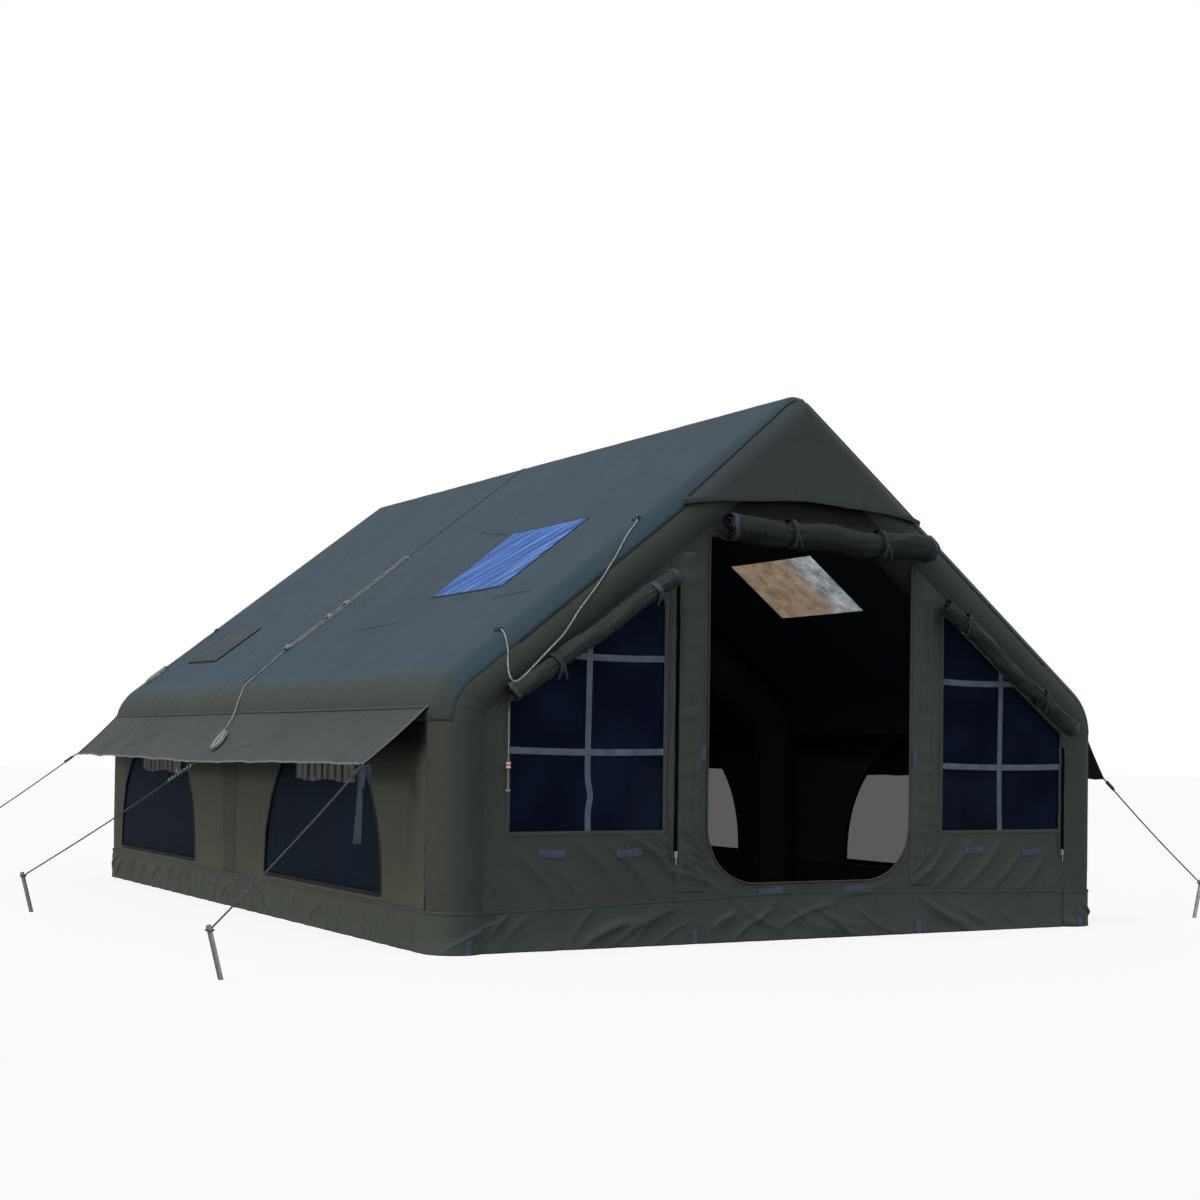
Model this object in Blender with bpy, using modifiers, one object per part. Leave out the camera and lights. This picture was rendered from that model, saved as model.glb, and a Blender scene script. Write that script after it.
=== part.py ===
"""Inflatable ridge tent: air arches in cloth sleeves under a canvas shell, door and windows rolled up.

The frame is +Z up. The origin is the middle of the footprint, on the ground. The door looks along -Y,
and the ridge runs along Y. Lengths are in metres.
"""

import math

import bmesh
import bpy
from mathutils import Matrix, Vector

# Driving dimensions
HALF_WIDTH = 2.0
HALF_LENGTH = 2.8
RIDGE = 2.76
EAVE = 1.21
SLEEVE_RADIUS = 0.145
BEAM_WALL = 0.001
BEND_RADIUS = 0.165
RIDGE_FOLD = 0.06
MIDDLE_ARCH_Y = 0.15
CANVAS = 0.0015
FLOOR_SHEET = 0.004
WALL_SETBACK = 0.03
SKIRT_HEIGHT = 0.19
ROPE_RADIUS = 0.004
GAP = 0.0003
SLEEVE_CLEARANCE = 0.0009
MERGE = 0.00002
OVERRUN = 0.01

# Counts that set how fine the round shapes are
TUBE_SIDES = 12
BEND_STEPS = 4
RIDGE_STEPS = 6
CORNER_STEPS = 5

# Places that follow from the driving dimensions
SLOPE = (RIDGE - EAVE) / HALF_WIDTH
PITCH = math.atan(SLOPE)
SLEEVE_INSET = CANVAS + SLEEVE_CLEARANCE + SLEEVE_RADIUS
BEAM_RADIUS = SLEEVE_RADIUS - CANVAS - GAP
SIDE_STEP = 2 * math.pi / TUBE_SIDES
LEG_X = HALF_WIDTH - SLEEVE_INSET
END_ARCH_Y = HALF_LENGTH - SLEEVE_INSET
ARCHES = {"front": -END_ARCH_Y, "middle": MIDDLE_ARCH_Y, "rear": END_ARCH_Y}
FOOT_Z = FLOOR_SHEET + GAP
EAVE_BEND = BEND_RADIUS + SLEEVE_INSET
EAVE_TURN = math.pi / 2 - PITCH
SEAM_Z = EAVE - EAVE_BEND * math.tan(EAVE_TURN / 2)
WALL_FACE_Y = HALF_LENGTH - WALL_SETBACK
WALL_BACK_Y = WALL_FACE_Y - CANVAS
WALL_CHORD = math.sqrt(SLEEVE_RADIUS**2 - (WALL_BACK_Y - END_ARCH_Y) ** 2)
SLEEVE_BULGE = END_ARCH_Y + SLEEVE_RADIUS - WALL_FACE_Y
WALL_INSET = SLEEVE_INSET + WALL_CHORD + GAP

PARTS = "inflatable_tent"
CUTTERS = "cutters"


def clear_scene():
    for obj in list(bpy.data.objects):
        bpy.data.objects.remove(obj)
    for name in (PARTS, CUTTERS):
        bpy.context.scene.collection.children.link(bpy.data.collections.new(name))


def material(name, colour, roughness, metallic=0.0):
    made = bpy.data.materials.get(name) or bpy.data.materials.new(name)
    made.use_nodes = True
    shader = made.node_tree.nodes["Principled BSDF"]
    shader.inputs["Base Color"].default_value = (*colour, 1.0)
    shader.inputs["Roughness"].default_value = roughness
    shader.inputs["Metallic"].default_value = metallic
    made.diffuse_color = (*colour, 1.0)
    return made


def link(obj, made_of):
    bpy.data.collections[PARTS].objects.link(obj)
    obj.data.materials.append(made_of)
    if obj.type == "MESH":
        obj.data.shade_smooth()
        obj.data.set_sharp_from_angle(angle=math.radians(35))
    return obj


def mesh_object(name, shape, made_of):
    """An object from a bmesh, with its faces turned outward."""
    bmesh.ops.recalc_face_normals(shape, faces=shape.faces)
    data = bpy.data.meshes.new(name)
    shape.to_mesh(data)
    shape.free()
    return link(bpy.data.objects.new(name, data), made_of)


def add_box(shape, size, matrix):
    bmesh.ops.create_cube(shape, size=1, matrix=matrix @ Matrix.Diagonal((*size, 1)))


def add_cylinder(shape, radius, depth, matrix, sides=TUBE_SIDES):
    bmesh.ops.create_cone(
        shape,
        cap_ends=True,
        segments=sides,
        radius1=radius,
        radius2=radius,
        depth=depth,
        matrix=matrix,
    )


def frame(origin, right, up):
    """A matrix whose local X is `right`, local Y is `up` and local Z points out of their plane."""
    x_axis = Vector(right).normalized()
    y_axis = Vector(up).normalized()
    turn = Matrix((x_axis, y_axis, x_axis.cross(y_axis))).transposed()
    return Matrix.Translation(origin) @ turn.to_4x4()


def front_frame(y):
    """Local X is world X, local Y is world Z, and local Z points forward, out of the tent."""
    return frame((0, y, 0), (1, 0, 0), (0, 0, 1))


def side_frame(side, x):
    """Local Y is world Z and local Z points out of the wall of this side, -1 for left and 1 for right."""
    return frame((side * x, 0, 0), (0, side, 0), (0, 0, 1))


def slope_frame(side):
    """Local Y runs down the slope from the ridge, and local Z points out of the canvas's outer face."""
    down = (side * math.cos(PITCH), 0, -math.sin(PITCH))
    return frame((0, 0, RIDGE), (0, -side, 0), down)


def slope_point(side, y, distance_down, lift):
    return slope_frame(side) @ Vector((-side * y, distance_down, lift))


def rounded(points, radii, steps):
    """The outline through these points, with each corner that has a radius drawn as `steps` chords."""
    outline = []
    count = len(points)
    for index, (point, radius) in enumerate(zip(points, radii, strict=True)):
        corner = Vector(point)
        if not radius:
            outline.append(corner)
            continue
        before = (Vector(points[index - 1]) - corner).normalized()
        after = (Vector(points[(index + 1) % count]) - corner).normalized()
        half_angle = before.angle(after) / 2
        centre = corner + (before + after).normalized() * radius / math.sin(half_angle)
        start = corner + before * radius / math.tan(half_angle) - centre
        turn = (math.pi - 2 * half_angle) * (-1 if before.cross(after) > 0 else 1)
        for step in range(steps + 1):
            angle = turn * step / steps
            spun = Vector(
                (
                    start.x * math.cos(angle) - start.y * math.sin(angle),
                    start.x * math.sin(angle) + start.y * math.cos(angle),
                )
            )
            outline.append(centre + spun)
    return outline


def arch_outline(inset, bottom, ridge_radius, steps_at_ridge=RIDGE_STEPS):
    """The tent's section (x, z) this far inside the outer canvas, from the left foot to the right foot."""
    x = HALF_WIDTH - inset
    ridge = RIDGE - inset / math.cos(PITCH)
    corners = [(-x, bottom), (-x, ridge - x * SLOPE), (0, ridge), (x, ridge - x * SLOPE), (x, bottom)]
    eave_radius = EAVE_BEND - inset
    left = rounded(corners[:3], (0, eave_radius, 0), BEND_STEPS)[:-1]
    top = rounded(corners[1:4], (0, ridge_radius, 0), steps_at_ridge)[1:-1]
    right = [Vector((-point.x, point.y)) for point in reversed(left)]
    return left + top + right


def panel(name, outlines, thickness, matrix, made_of):
    """A flat sheet whose back lies at local Z zero. Outlines inside the first one are holes."""
    data = bpy.data.curves.new(name, "CURVE")
    data.dimensions = "2D"
    data.fill_mode = "BOTH"
    data.extrude = thickness / 2
    for outline in outlines:
        spline = data.splines.new("POLY")
        spline.points.add(len(outline) - 1)
        for place, point in zip(spline.points, outline, strict=True):
            place.co = (point[0], point[1], 0, 1)
        spline.use_cyclic_u = True
    obj = link(bpy.data.objects.new(name, data), made_of)
    obj.matrix_world = matrix @ Matrix.Translation((0, 0, thickness / 2))
    return obj


def rectangle(left, right, bottom, top):
    return [(left, bottom), (right, bottom), (right, top), (left, top)]


def circle(radius, sides):
    turns = [2 * math.pi * side / sides for side in range(sides)]
    return [(radius * math.cos(turn), radius * math.sin(turn)) for turn in turns]


def tube(name, points, radius, made_of, sides=8, caps=True):
    """A tube along these points, as a curve."""
    data = bpy.data.curves.new(name, "CURVE")
    data.dimensions = "3D"
    data.bevel_depth = radius
    data.bevel_resolution = sides // 2 - 2
    data.use_fill_caps = caps
    spline = data.splines.new("POLY")
    spline.points.add(len(points) - 1)
    for place, point in zip(spline.points, points, strict=True):
        place.co = (*point, 1)
    return link(bpy.data.objects.new(name, data), made_of)


def as_mesh(obj):
    """The same object as a mesh, with its caps welded on."""
    bpy.context.view_layer.update()
    graph = bpy.context.evaluated_depsgraph_get()
    data = bpy.data.meshes.new_from_object(obj.evaluated_get(graph))
    shape = bmesh.new()
    shape.from_mesh(data)
    bmesh.ops.remove_doubles(shape, verts=shape.verts, dist=MERGE)
    bmesh.ops.recalc_face_normals(shape, faces=shape.faces)
    shape.to_mesh(data)
    shape.free()
    name = obj.name
    matrix = obj.matrix_world.copy()
    bpy.data.objects.remove(obj)
    made = bpy.data.objects.new(name, data)
    bpy.data.collections[PARTS].objects.link(made)
    made.matrix_world = matrix
    data.shade_smooth()
    data.set_sharp_from_angle(angle=math.radians(35))
    return made


def solidify(obj, thickness, offset=-1):
    shell = obj.modifiers.new("wall", "SOLIDIFY")
    shell.thickness = thickness
    shell.offset = offset
    shell.use_even_offset = True
    return obj


def grid_sheet(name, rows, thickness, made_of, offset=-1):
    """A cloth sheet through rows of points. Its face turns to where the rows run anticlockwise."""
    shape = bmesh.new()
    corners = [[shape.verts.new(point) for point in row] for row in rows]
    for low, high in zip(corners, corners[1:], strict=False):
        for index in range(len(low) - 1):
            shape.faces.new((low[index], low[index + 1], high[index + 1], high[index]))
    data = bpy.data.meshes.new(name)
    shape.to_mesh(data)
    shape.free()
    return solidify(link(bpy.data.objects.new(name, data), made_of), thickness, offset)


def cutter(name, shape):
    bmesh.ops.recalc_face_normals(shape, faces=shape.faces)
    data = bpy.data.meshes.new(name)
    shape.to_mesh(data)
    shape.free()
    obj = bpy.data.objects.new(name, data)
    bpy.data.collections[CUTTERS].objects.link(obj)
    obj.hide_render = True
    obj.display_type = "WIRE"
    return obj


def make_cutter(obj):
    """Takes a solid out of the model, to be joined into another or cut from it."""
    bpy.data.collections[PARTS].objects.unlink(obj)
    bpy.data.collections[CUTTERS].objects.link(obj)
    obj.hide_render = True
    obj.display_type = "WIRE"
    return obj


def cut(obj, tool):
    boolean = obj.modifiers.new(tool.name, "BOOLEAN")
    boolean.operation = "DIFFERENCE"
    boolean.solver = "EXACT"
    boolean.object = tool
    return obj


def union(obj, tool):
    """Joins another solid into this one."""
    boolean = obj.modifiers.new(tool.name, "BOOLEAN")
    boolean.operation = "UNION"
    boolean.solver = "EXACT"
    boolean.object = tool
    return obj


def add_to(obj, name, shape):
    """Joins a bmesh, whose places are the object's own, into the object."""
    tool = cutter(name, shape)
    tool.parent = obj
    return union(obj, tool)


def smooth_route(points, spacing):
    """Points at about this spacing on a smooth curve through the route's own points."""
    ends = [Vector(point) for point in points]
    padded = [2 * ends[0] - ends[1], *ends, 2 * ends[-1] - ends[-2]]
    route = []
    for before, start, end, after in zip(padded, padded[1:], padded[2:], padded[3:], strict=False):
        steps = max(1, round((end - start).length / spacing))
        for step in range(steps):
            share = step / steps
            bend = 2 * before - 5 * start + 4 * end - after
            twist = -before + 3 * start - 3 * end + after
            point = 2 * start + (end - before) * share + bend * share**2 + twist * share**3
            route.append(point / 2)
    route.append(ends[-1])
    return route


# Arches and beams

VALVE_HEIGHT = 0.38
VALVE_NECK = 0.012
VALVE_BORE = 0.008
FLANGE_RADIUS = 0.027
FLANGE = 0.004
STEM_LENGTH = 0.016
PORT_RADIUS = 0.01
PURLIN_RADIUS = 0.07
PURLIN_WALL = 0.001
PURLIN_OVERHANG = 0.05
PURLIN_LIFT = 0.0008


def arch_points(y, bottom):
    return [(point.x, y, point.y) for point in arch_outline(SLEEVE_INSET, bottom, BEND_RADIUS)]


def valve_frame(y):
    """Local Z points from the left leg into the cabin, at the valve."""
    return frame((-LEG_X, y, FOOT_Z + VALVE_HEIGHT), (0, 1, 0), (0, 0, 1))


def radial_cutter(name, radius, y):
    shape = bmesh.new()
    reach = Matrix.Translation((0, 0, SLEEVE_RADIUS))
    add_cylinder(shape, radius, SLEEVE_RADIUS, valve_frame(y) @ reach)
    return cutter(name, shape)


def valve_body(where, y):
    """The neck that is bonded into the beam, and its flange on the outside of the sleeve."""
    at = valve_frame(y)
    face = SLEEVE_RADIUS + GAP + FLANGE
    neck = bmesh.new()
    length = FLANGE + STEM_LENGTH
    add_cylinder(neck, VALVE_NECK, length, at @ Matrix.Translation((0, 0, face - length / 2)))
    flange = bmesh.new()
    seat = at @ Matrix.Translation((0, 0, face - FLANGE / 2))
    add_cylinder(flange, FLANGE_RADIUS, FLANGE, seat, 2 * TUBE_SIDES)
    return cutter(f"valve_neck_{where}", neck), cutter(f"valve_flange_{where}", flange)


def arches():
    sleeve_cloth = material("sleeve_canvas", (0.045, 0.053, 0.047), 0.85)
    film = material("beam_film", (0.35, 0.36, 0.36), 0.45)
    for where, y in ARCHES.items():
        points = arch_points(y, FOOT_Z)
        name = f"arch_sleeve_{where}"
        sleeve = as_mesh(tube(name, points, SLEEVE_RADIUS, sleeve_cloth, TUBE_SIDES, caps=False))
        cut(solidify(sleeve, CANVAS), radial_cutter(f"neck_hole_{where}", VALVE_NECK + GAP, y))
        beam = as_mesh(tube(f"air_beam_{where}", points, BEAM_RADIUS, film, TUBE_SIDES))
        solidify(beam, BEAM_WALL)
        for piece in valve_body(where, y):
            union(beam, piece)
        cut(beam, radial_cutter(f"valve_bore_{where}", VALVE_BORE, y))


def ridge_beam():
    """A closed air tube along Y under the bends of the three arches, with a port in its front end."""
    film = material("purlin_film", (0.33, 0.34, 0.34), 0.45)
    inner_ridge = RIDGE - (SLEEVE_INSET + SLEEVE_RADIUS) / math.cos(PITCH)
    z = inner_ridge - (PURLIN_RADIUS + GAP) / math.cos(PITCH) + PURLIN_LIFT
    reach = END_ARCH_Y + PURLIN_OVERHANG
    beam = as_mesh(tube("ridge_beam", [(0, -reach, z), (0, reach, z)], PURLIN_RADIUS, film, TUBE_SIDES))
    shape = bmesh.new()
    along = Matrix.Translation((0, -reach, z)) @ Matrix.Rotation(math.pi / 2, 4, "X")
    add_cylinder(shape, PORT_RADIUS, PURLIN_RADIUS, along)
    cut(solidify(beam, PURLIN_WALL), cutter("ridge_beam_port", shape))


# Canvas shell

HOLE_MARGIN = 0.02
FILM = 0.0008
SKYLIGHT_LEFT = {"y": (-1.943, -1.065), "down": (0.987, 1.620)}
SKYLIGHT_RIGHT = {"y": (-1.63, -0.80), "down": (1.080, 1.610)}
STOVE_COVER = {"y": (1.59, 2.19), "down": (1.687, 2.063)}
FLUE_RADIUS = 0.075
DOOR = {"left": -0.555, "right": 0.69, "bottom": 0.286, "top": RIDGE - 0.775, "corner": 0.28}
WINDOW_LEFT = {"outer": -1.645, "inner": -0.80, "bottom": 0.545, "outer_below": 0.033, "inner_below": 0.105}
WINDOW_RIGHT = {"outer": 1.735, "inner": 0.90, "bottom": 0.525, "outer_below": 0.058, "inner_below": 0.080}
BELL_CENTRES = (-1.317, 1.617)
BELL_HALF_WIDTH = 0.826
BELL_BOTTOM = 0.232
BELL_HEIGHT = 0.79
BELL_ROUND = 2.2
BELL_STEPS = 16
HOOD = {
    "left": -0.713,
    "right": 0.729,
    "below": 0.629,
    "bow": 0.055,
    "apex_below": 0.028,
    "tip": 0.02,
    "lean": 0.035,
}
HOOD_STEPS = 8


def roof_slope(side, label, canvas):
    """One slope, from the ridge over the eave to its seam, wrapped round the end arches."""
    radius = SLEEVE_INSET
    wraps = [step * SIDE_STEP for step in (2, 1, 0)]
    stations = [(-END_ARCH_Y - radius * math.sin(turn), radius * (1 - math.cos(turn))) for turn in wraps]
    stations += [(-y, inset) for y, inset in reversed(stations)]
    rows = []
    for y, inset in stations:
        outline = arch_outline(inset, 0, RIDGE_FOLD - inset / 2)
        half = outline[len(outline) // 2 : -1]
        row = [(side * max(point.x, GAP), y, point.y) for point in half]
        rows.append(row[::-1] if side < 0 else row)
    return grid_sheet(f"roof_{label}", rows, CANVAS, canvas)


def cut_slope(obj, side, name, place, margin):
    shape = bmesh.new()
    low, high = place["y"]
    top, bottom = place["down"]
    size = (high - low - 2 * margin, bottom - top - 2 * margin, 2 * OVERRUN)
    centre = slope_point(side, (low + high) / 2, (top + bottom) / 2, 0)
    matrix = slope_frame(side).copy()
    matrix.translation = centre
    add_box(shape, size, matrix)
    return cut(obj, cutter(name, shape))


def skylight(label, side, place, film):
    low, high = sorted(-side * y for y in place["y"])
    outline = rectangle(low, high, *place["down"])
    on_slope = slope_frame(side) @ Matrix.Translation((0, 0, GAP))
    panel(f"skylight_{label}", [outline], FILM, on_slope, film)


def stove_centre():
    return sum(STOVE_COVER["y"]) / 2, sum(STOVE_COVER["down"]) / 2


def roofs():
    canvas = material("roof_canvas", (0.075, 0.098, 0.112), 0.8)
    film = material("skylight_film", (0.10, 0.30, 0.80), 0.25)
    left = roof_slope(-1, "left", canvas)
    right = roof_slope(1, "right", canvas)
    cut_slope(left, -1, "skylight_hole_left", SKYLIGHT_LEFT, HOLE_MARGIN)
    cut_slope(right, 1, "skylight_hole_right", SKYLIGHT_RIGHT, HOLE_MARGIN)
    skylight("left", -1, SKYLIGHT_LEFT, film)
    skylight("right", 1, SKYLIGHT_RIGHT, film)
    shape = bmesh.new()
    flue = Matrix.Translation(slope_point(-1, *stove_centre(), 0)) @ Matrix.Rotation(-PITCH, 4, "Y")
    add_cylinder(shape, FLUE_RADIUS, 2 * OVERRUN, flue, 2 * TUBE_SIDES)
    cut(left, cutter("flue_hole", shape))


def stove_cover():
    """The cloth flap over the flue hole. It folds up about its upper edge."""
    cover_cloth = material("stove_cover", (0.06, 0.072, 0.082), 0.8)
    hinge = bpy.data.objects.new("stove_hinge", None)
    bpy.data.collections[PARTS].objects.link(hinge)
    low, high = STOVE_COVER["y"]
    top, bottom = STOVE_COVER["down"]
    lift = GAP
    hinge.matrix_world = slope_frame(-1) @ Matrix.Translation(((low + high) / 2, top, lift + CANVAS / 2))
    cover = panel(
        "stove_flap",
        [rectangle(-(high - low) / 2, (high - low) / 2, GAP, bottom - top)],
        CANVAS,
        Matrix.Translation((0, 0, -CANVAS / 2)),
        cover_cloth,
    )
    cover.parent = hinge


def wall_outline():
    outline = arch_outline(WALL_INSET, SKIRT_HEIGHT + GAP, BEND_RADIUS - WALL_CHORD - GAP)
    return outline[::-1]


def wall_top(x):
    """The height of the front wall's slanted edge, where it meets the arch."""
    return RIDGE - abs(x) * SLOPE - WALL_INSET / math.cos(PITCH)


def window_corner_top(window, end):
    """The height of the window's upper corner at its outer or inner end, a set way below the wall's edge."""
    return wall_top(window[end]) - window[f"{end}_below"]


def window_outline(window, margin=0):
    toward = math.copysign(margin, window["outer"])
    inner_top = window_corner_top(window, "inner")
    outer_top = window_corner_top(window, "outer")
    height = inner_top - outer_top
    rise = margin / math.cos(math.atan2(height, abs(window["outer"] - window["inner"])))
    return [
        (window["outer"] + toward, window["bottom"] - margin),
        (window["inner"] - toward, window["bottom"] - margin),
        (window["inner"] - toward, inner_top + rise),
        (window["outer"] + toward, outer_top + rise),
    ]


def door_outline():
    corners = rectangle(DOOR["left"], DOOR["right"], DOOR["bottom"], DOOR["top"])
    return rounded(corners, (DOOR["corner"], DOOR["corner"], 0, 0), CORNER_STEPS)


def bell_outline(centre, margin=0):
    """A flat-bottomed bell, as a superellipse on a level sill."""
    outline = []
    for step in range(BELL_STEPS + 1):
        turn = math.pi * step / BELL_STEPS
        across = math.copysign(abs(math.cos(turn)) ** (2 / BELL_ROUND), math.cos(turn))
        up = math.sin(turn) ** (2 / BELL_ROUND)
        z = BELL_BOTTOM - margin + (BELL_HEIGHT + 2 * margin) * up
        outline.append((centre + (BELL_HALF_WIDTH + margin) * across, z))
    return outline


def walls():
    canvas = material("wall_canvas", (0.048, 0.056, 0.050), 0.85)
    front = as_mesh(panel("front_wall", [wall_outline()], CANVAS, front_frame(-WALL_BACK_Y), canvas))
    holes = {
        "door_hole": door_outline(),
        "window_hole_left": window_outline(WINDOW_LEFT),
        "window_hole_right": window_outline(WINDOW_RIGHT),
    }
    for name, outline in holes.items():
        through = panel(name, [outline], 2 * OVERRUN, front_frame(OVERRUN - WALL_BACK_Y), canvas)
        cut(front, make_cutter(as_mesh(through)))
    tabs(front)
    roll_ties(front)
    cord_tab(front)
    back = frame((0, WALL_BACK_Y, 0), (-1, 0, 0), (0, 0, 1))
    panel("rear_wall", [wall_outline()], CANVAS, back, canvas)
    side_canvas = material("side_canvas", (0.062, 0.063, 0.050), 0.85)
    for side, label in ((-1, "left"), (1, "right")):
        outline = rectangle(-END_ARCH_Y, END_ARCH_Y, SKIRT_HEIGHT + GAP, SEAM_Z - GAP)
        windows = [bell_outline(side * centre) for centre in BELL_CENTRES]
        where = side_frame(side, HALF_WIDTH - CANVAS)
        panel(f"{label}_wall", [outline, *windows], CANVAS, where, side_canvas)


def hood():
    canvas = material("hood_canvas", (0.045, 0.053, 0.050), 0.8)
    low = []
    hem_z = RIDGE - HOOD["below"]
    apex_z = RIDGE - HOOD["apex_below"]
    for step in range(HOOD_STEPS + 1):
        share = step / HOOD_STEPS
        x = HOOD["left"] + (HOOD["right"] - HOOD["left"]) * share
        low.append((x, hem_z + HOOD["bow"] * math.sin(math.pi * share)))
    tips = [(HOOD["right"], hem_z + HOOD["tip"]), (0, apex_z), (HOOD["left"], hem_z + HOOD["tip"])]
    arch_top = arch_outline(SLEEVE_INSET, 0, BEND_RADIUS)
    touch_z = arch_top[len(arch_top) // 2].y
    lean = math.atan2(HOOD["lean"], apex_z - hem_z)
    face_y = -(END_ARCH_Y + SLEEVE_RADIUS / math.cos(lean) + GAP)
    matrix = frame((0, face_y, touch_z), (1, 0, 0), (0, math.sin(lean), math.cos(lean)))
    outline = [(x, (z - touch_z) / math.cos(lean)) for x, z in low + tips]
    panel("gable_hood", [outline], CANVAS, matrix, canvas)


# Foot of the tent

def foot_outline(inset):
    """The tent's outline at its foot: straight along the walls and round each corner leg."""
    radius = SLEEVE_INSET - inset
    reach = WALL_FACE_Y - END_ARCH_Y - inset
    last = math.asin(reach / radius)
    turns = [step * SIDE_STEP for step in range(TUBE_SIDES) if step * SIDE_STEP < math.pi - last]
    turns.append(math.pi - last)
    corner = [(radius * math.cos(turn), radius * math.sin(turn)) for turn in turns]
    outline = []
    for x_side, y_side in ((1, 1), (-1, 1), (-1, -1), (1, -1)):
        points = [(x_side * (LEG_X + x), y_side * (END_ARCH_Y + y)) for x, y in corner]
        outline += points if x_side * y_side > 0 else points[::-1]
    return outline


def foot():
    canvas = material("skirt_canvas", (0.050, 0.058, 0.052), 0.85)
    skirt = panel("mud_skirt", [foot_outline(0), foot_outline(CANVAS)], SKIRT_HEIGHT, Matrix(), canvas)
    base_loops(as_mesh(skirt))
    floor_cloth = material("floor_cloth", (0.10, 0.085, 0.07), 0.7)
    panel("ground_sheet", [foot_outline(CANVAS + GAP)], FLOOR_SHEET, Matrix(), floor_cloth)


# Windows, door strips and what is sewn on them

NET = 0.001
NET_MARGIN = 0.01
STRAP_WIDTH = 0.04
STRAP = 0.0005
STRAP_UPRIGHTS = {"left": -1.22, "right": 1.305}
STRAP_RUNGS = {"left": (0.93, 1.377), "right": (0.874, 1.318)}
JAMBS = {"left": (-0.775, -0.587), "right": (0.70, 0.883)}
JAMB_BOTTOM = 0.25
JAMB_TOP = RIDGE - 0.86
SEAM_ALLOWANCE = 0.012
ZIP_WIDTH = 0.012
ZIP_THICKNESS = 0.002
ZIP_DOOR = {"x": -0.735, "low": 0.42, "high": 1.80}
ZIP_WINDOW = {"x": 1.752, "low": 0.391, "high": 0.98}
SLIDER = {"width": 0.018, "height": 0.032, "cheek": 0.002, "pull": 0.05}
TABS = (
    (-1.407, 0.45),
    (-0.993, 0.448),
    (1.13, 0.429),
    (1.53, 0.412),
    (-0.179, 0.246),
    (0.346, 0.247),
)
TAB_SIZE = (0.14, 0.035)
BASE_LOOPS = (-1.85, -0.62, 0.748, 1.85)
LOOP_SIZE = (0.03, 0.07)


def front_nets():
    net = material("window_net", (0.012, 0.017, 0.035), 0.7)
    where = front_frame(-(WALL_BACK_Y - GAP - NET))
    for label, window in (("left", WINDOW_LEFT), ("right", WINDOW_RIGHT)):
        panel(f"front_mesh_{label}", [window_outline(window, NET_MARGIN)], NET, where, net)


def side_nets():
    net = material("window_net", (0.012, 0.017, 0.035), 0.7)
    for side, label in ((-1, "left"), (1, "right")):
        where = side_frame(side, HALF_WIDTH - CANVAS - GAP - NET)
        for bay, centre in zip(("front", "rear"), BELL_CENTRES, strict=True):
            panel(f"side_mesh_{label}_{bay}", [bell_outline(side * centre, NET_MARGIN)], NET, where, net)


def window_top(window, x):
    share = (x - window["inner"]) / (window["outer"] - window["inner"])
    inner_top = window_corner_top(window, "inner")
    return inner_top + (window_corner_top(window, "outer") - inner_top) * share


def straps():
    """Webbing sewn across each front window: an upright and two rungs, stitched where they cross."""
    webbing = material("strap_webbing", (0.115, 0.170, 0.225), 0.75)
    where = front_frame(-(WALL_BACK_Y - GAP))
    for label, window in (("left", WINDOW_LEFT), ("right", WINDOW_RIGHT)):
        x = STRAP_UPRIGHTS[label]
        edges = (x - STRAP_WIDTH / 2, x + STRAP_WIDTH / 2)
        low = window["bottom"] + GAP
        outline = [(edges[0], low), (edges[1], low)]
        outline += [(edge, window_top(window, edge) - GAP) for edge in reversed(edges)]
        upright = as_mesh(panel(f"window_strap_{label}", [outline], STRAP, where, webbing))
        for number, z in enumerate(STRAP_RUNGS[label]):
            name = f"strap_rung_{label}_{number}"
            rung = as_mesh(panel(name, [rung_outline(window, z)], STRAP, where, webbing))
            union(upright, make_cutter(rung))


def rung_outline(window, z):
    inward = math.copysign(GAP, window["inner"] - window["outer"])
    inner = window["inner"] - inward
    outline = []
    outer_top = window_corner_top(window, "outer")
    for edge in (z - STRAP_WIDTH / 2, z + STRAP_WIDTH / 2):
        rise = (edge - outer_top) / (window_corner_top(window, "inner") - outer_top)
        outer = window["outer"] + (window["inner"] - window["outer"]) * max(0, rise)
        outline.append((outer + inward, edge))
    return [*outline, (inner, outline[1][1]), (inner, outline[0][1])]


def jambs():
    canvas = material("jamb_canvas", (0.075, 0.083, 0.072), 0.85)
    for label, (left, right) in JAMBS.items():
        outline = [(left, JAMB_BOTTOM), (right, JAMB_BOTTOM)]
        outline += [(x, min(JAMB_TOP, wall_top(x) - SEAM_ALLOWANCE)) for x in (right, left)]
        panel(f"door_jamb_{label}", [outline], CANVAS, front_frame(-(WALL_FACE_Y + GAP)), canvas)


def zip_face(track):
    """How far forward the cloth is that carries this zip."""
    left, right = JAMBS["left"]
    on_jamb = left < track["x"] < right
    return WALL_FACE_Y + (GAP + CANVAS if on_jamb else 0) + GAP


def zips():
    tape = material("zip_tape", (0.006, 0.006, 0.007), 0.6)
    metal = material("zip_metal", (0.20, 0.20, 0.21), 0.35, 1.0)
    for label, track in (("door", ZIP_DOOR), ("window", ZIP_WINDOW)):
        face = zip_face(track)
        x = track["x"]
        outline = rectangle(x - ZIP_WIDTH / 2, x + ZIP_WIDTH / 2, track["low"], track["high"])
        panel(f"zip_track_{label}", [outline], ZIP_THICKNESS, front_frame(-face), tape)
        zip_slider(label, x, face + ZIP_THICKNESS + GAP, track["low"], metal)


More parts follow.
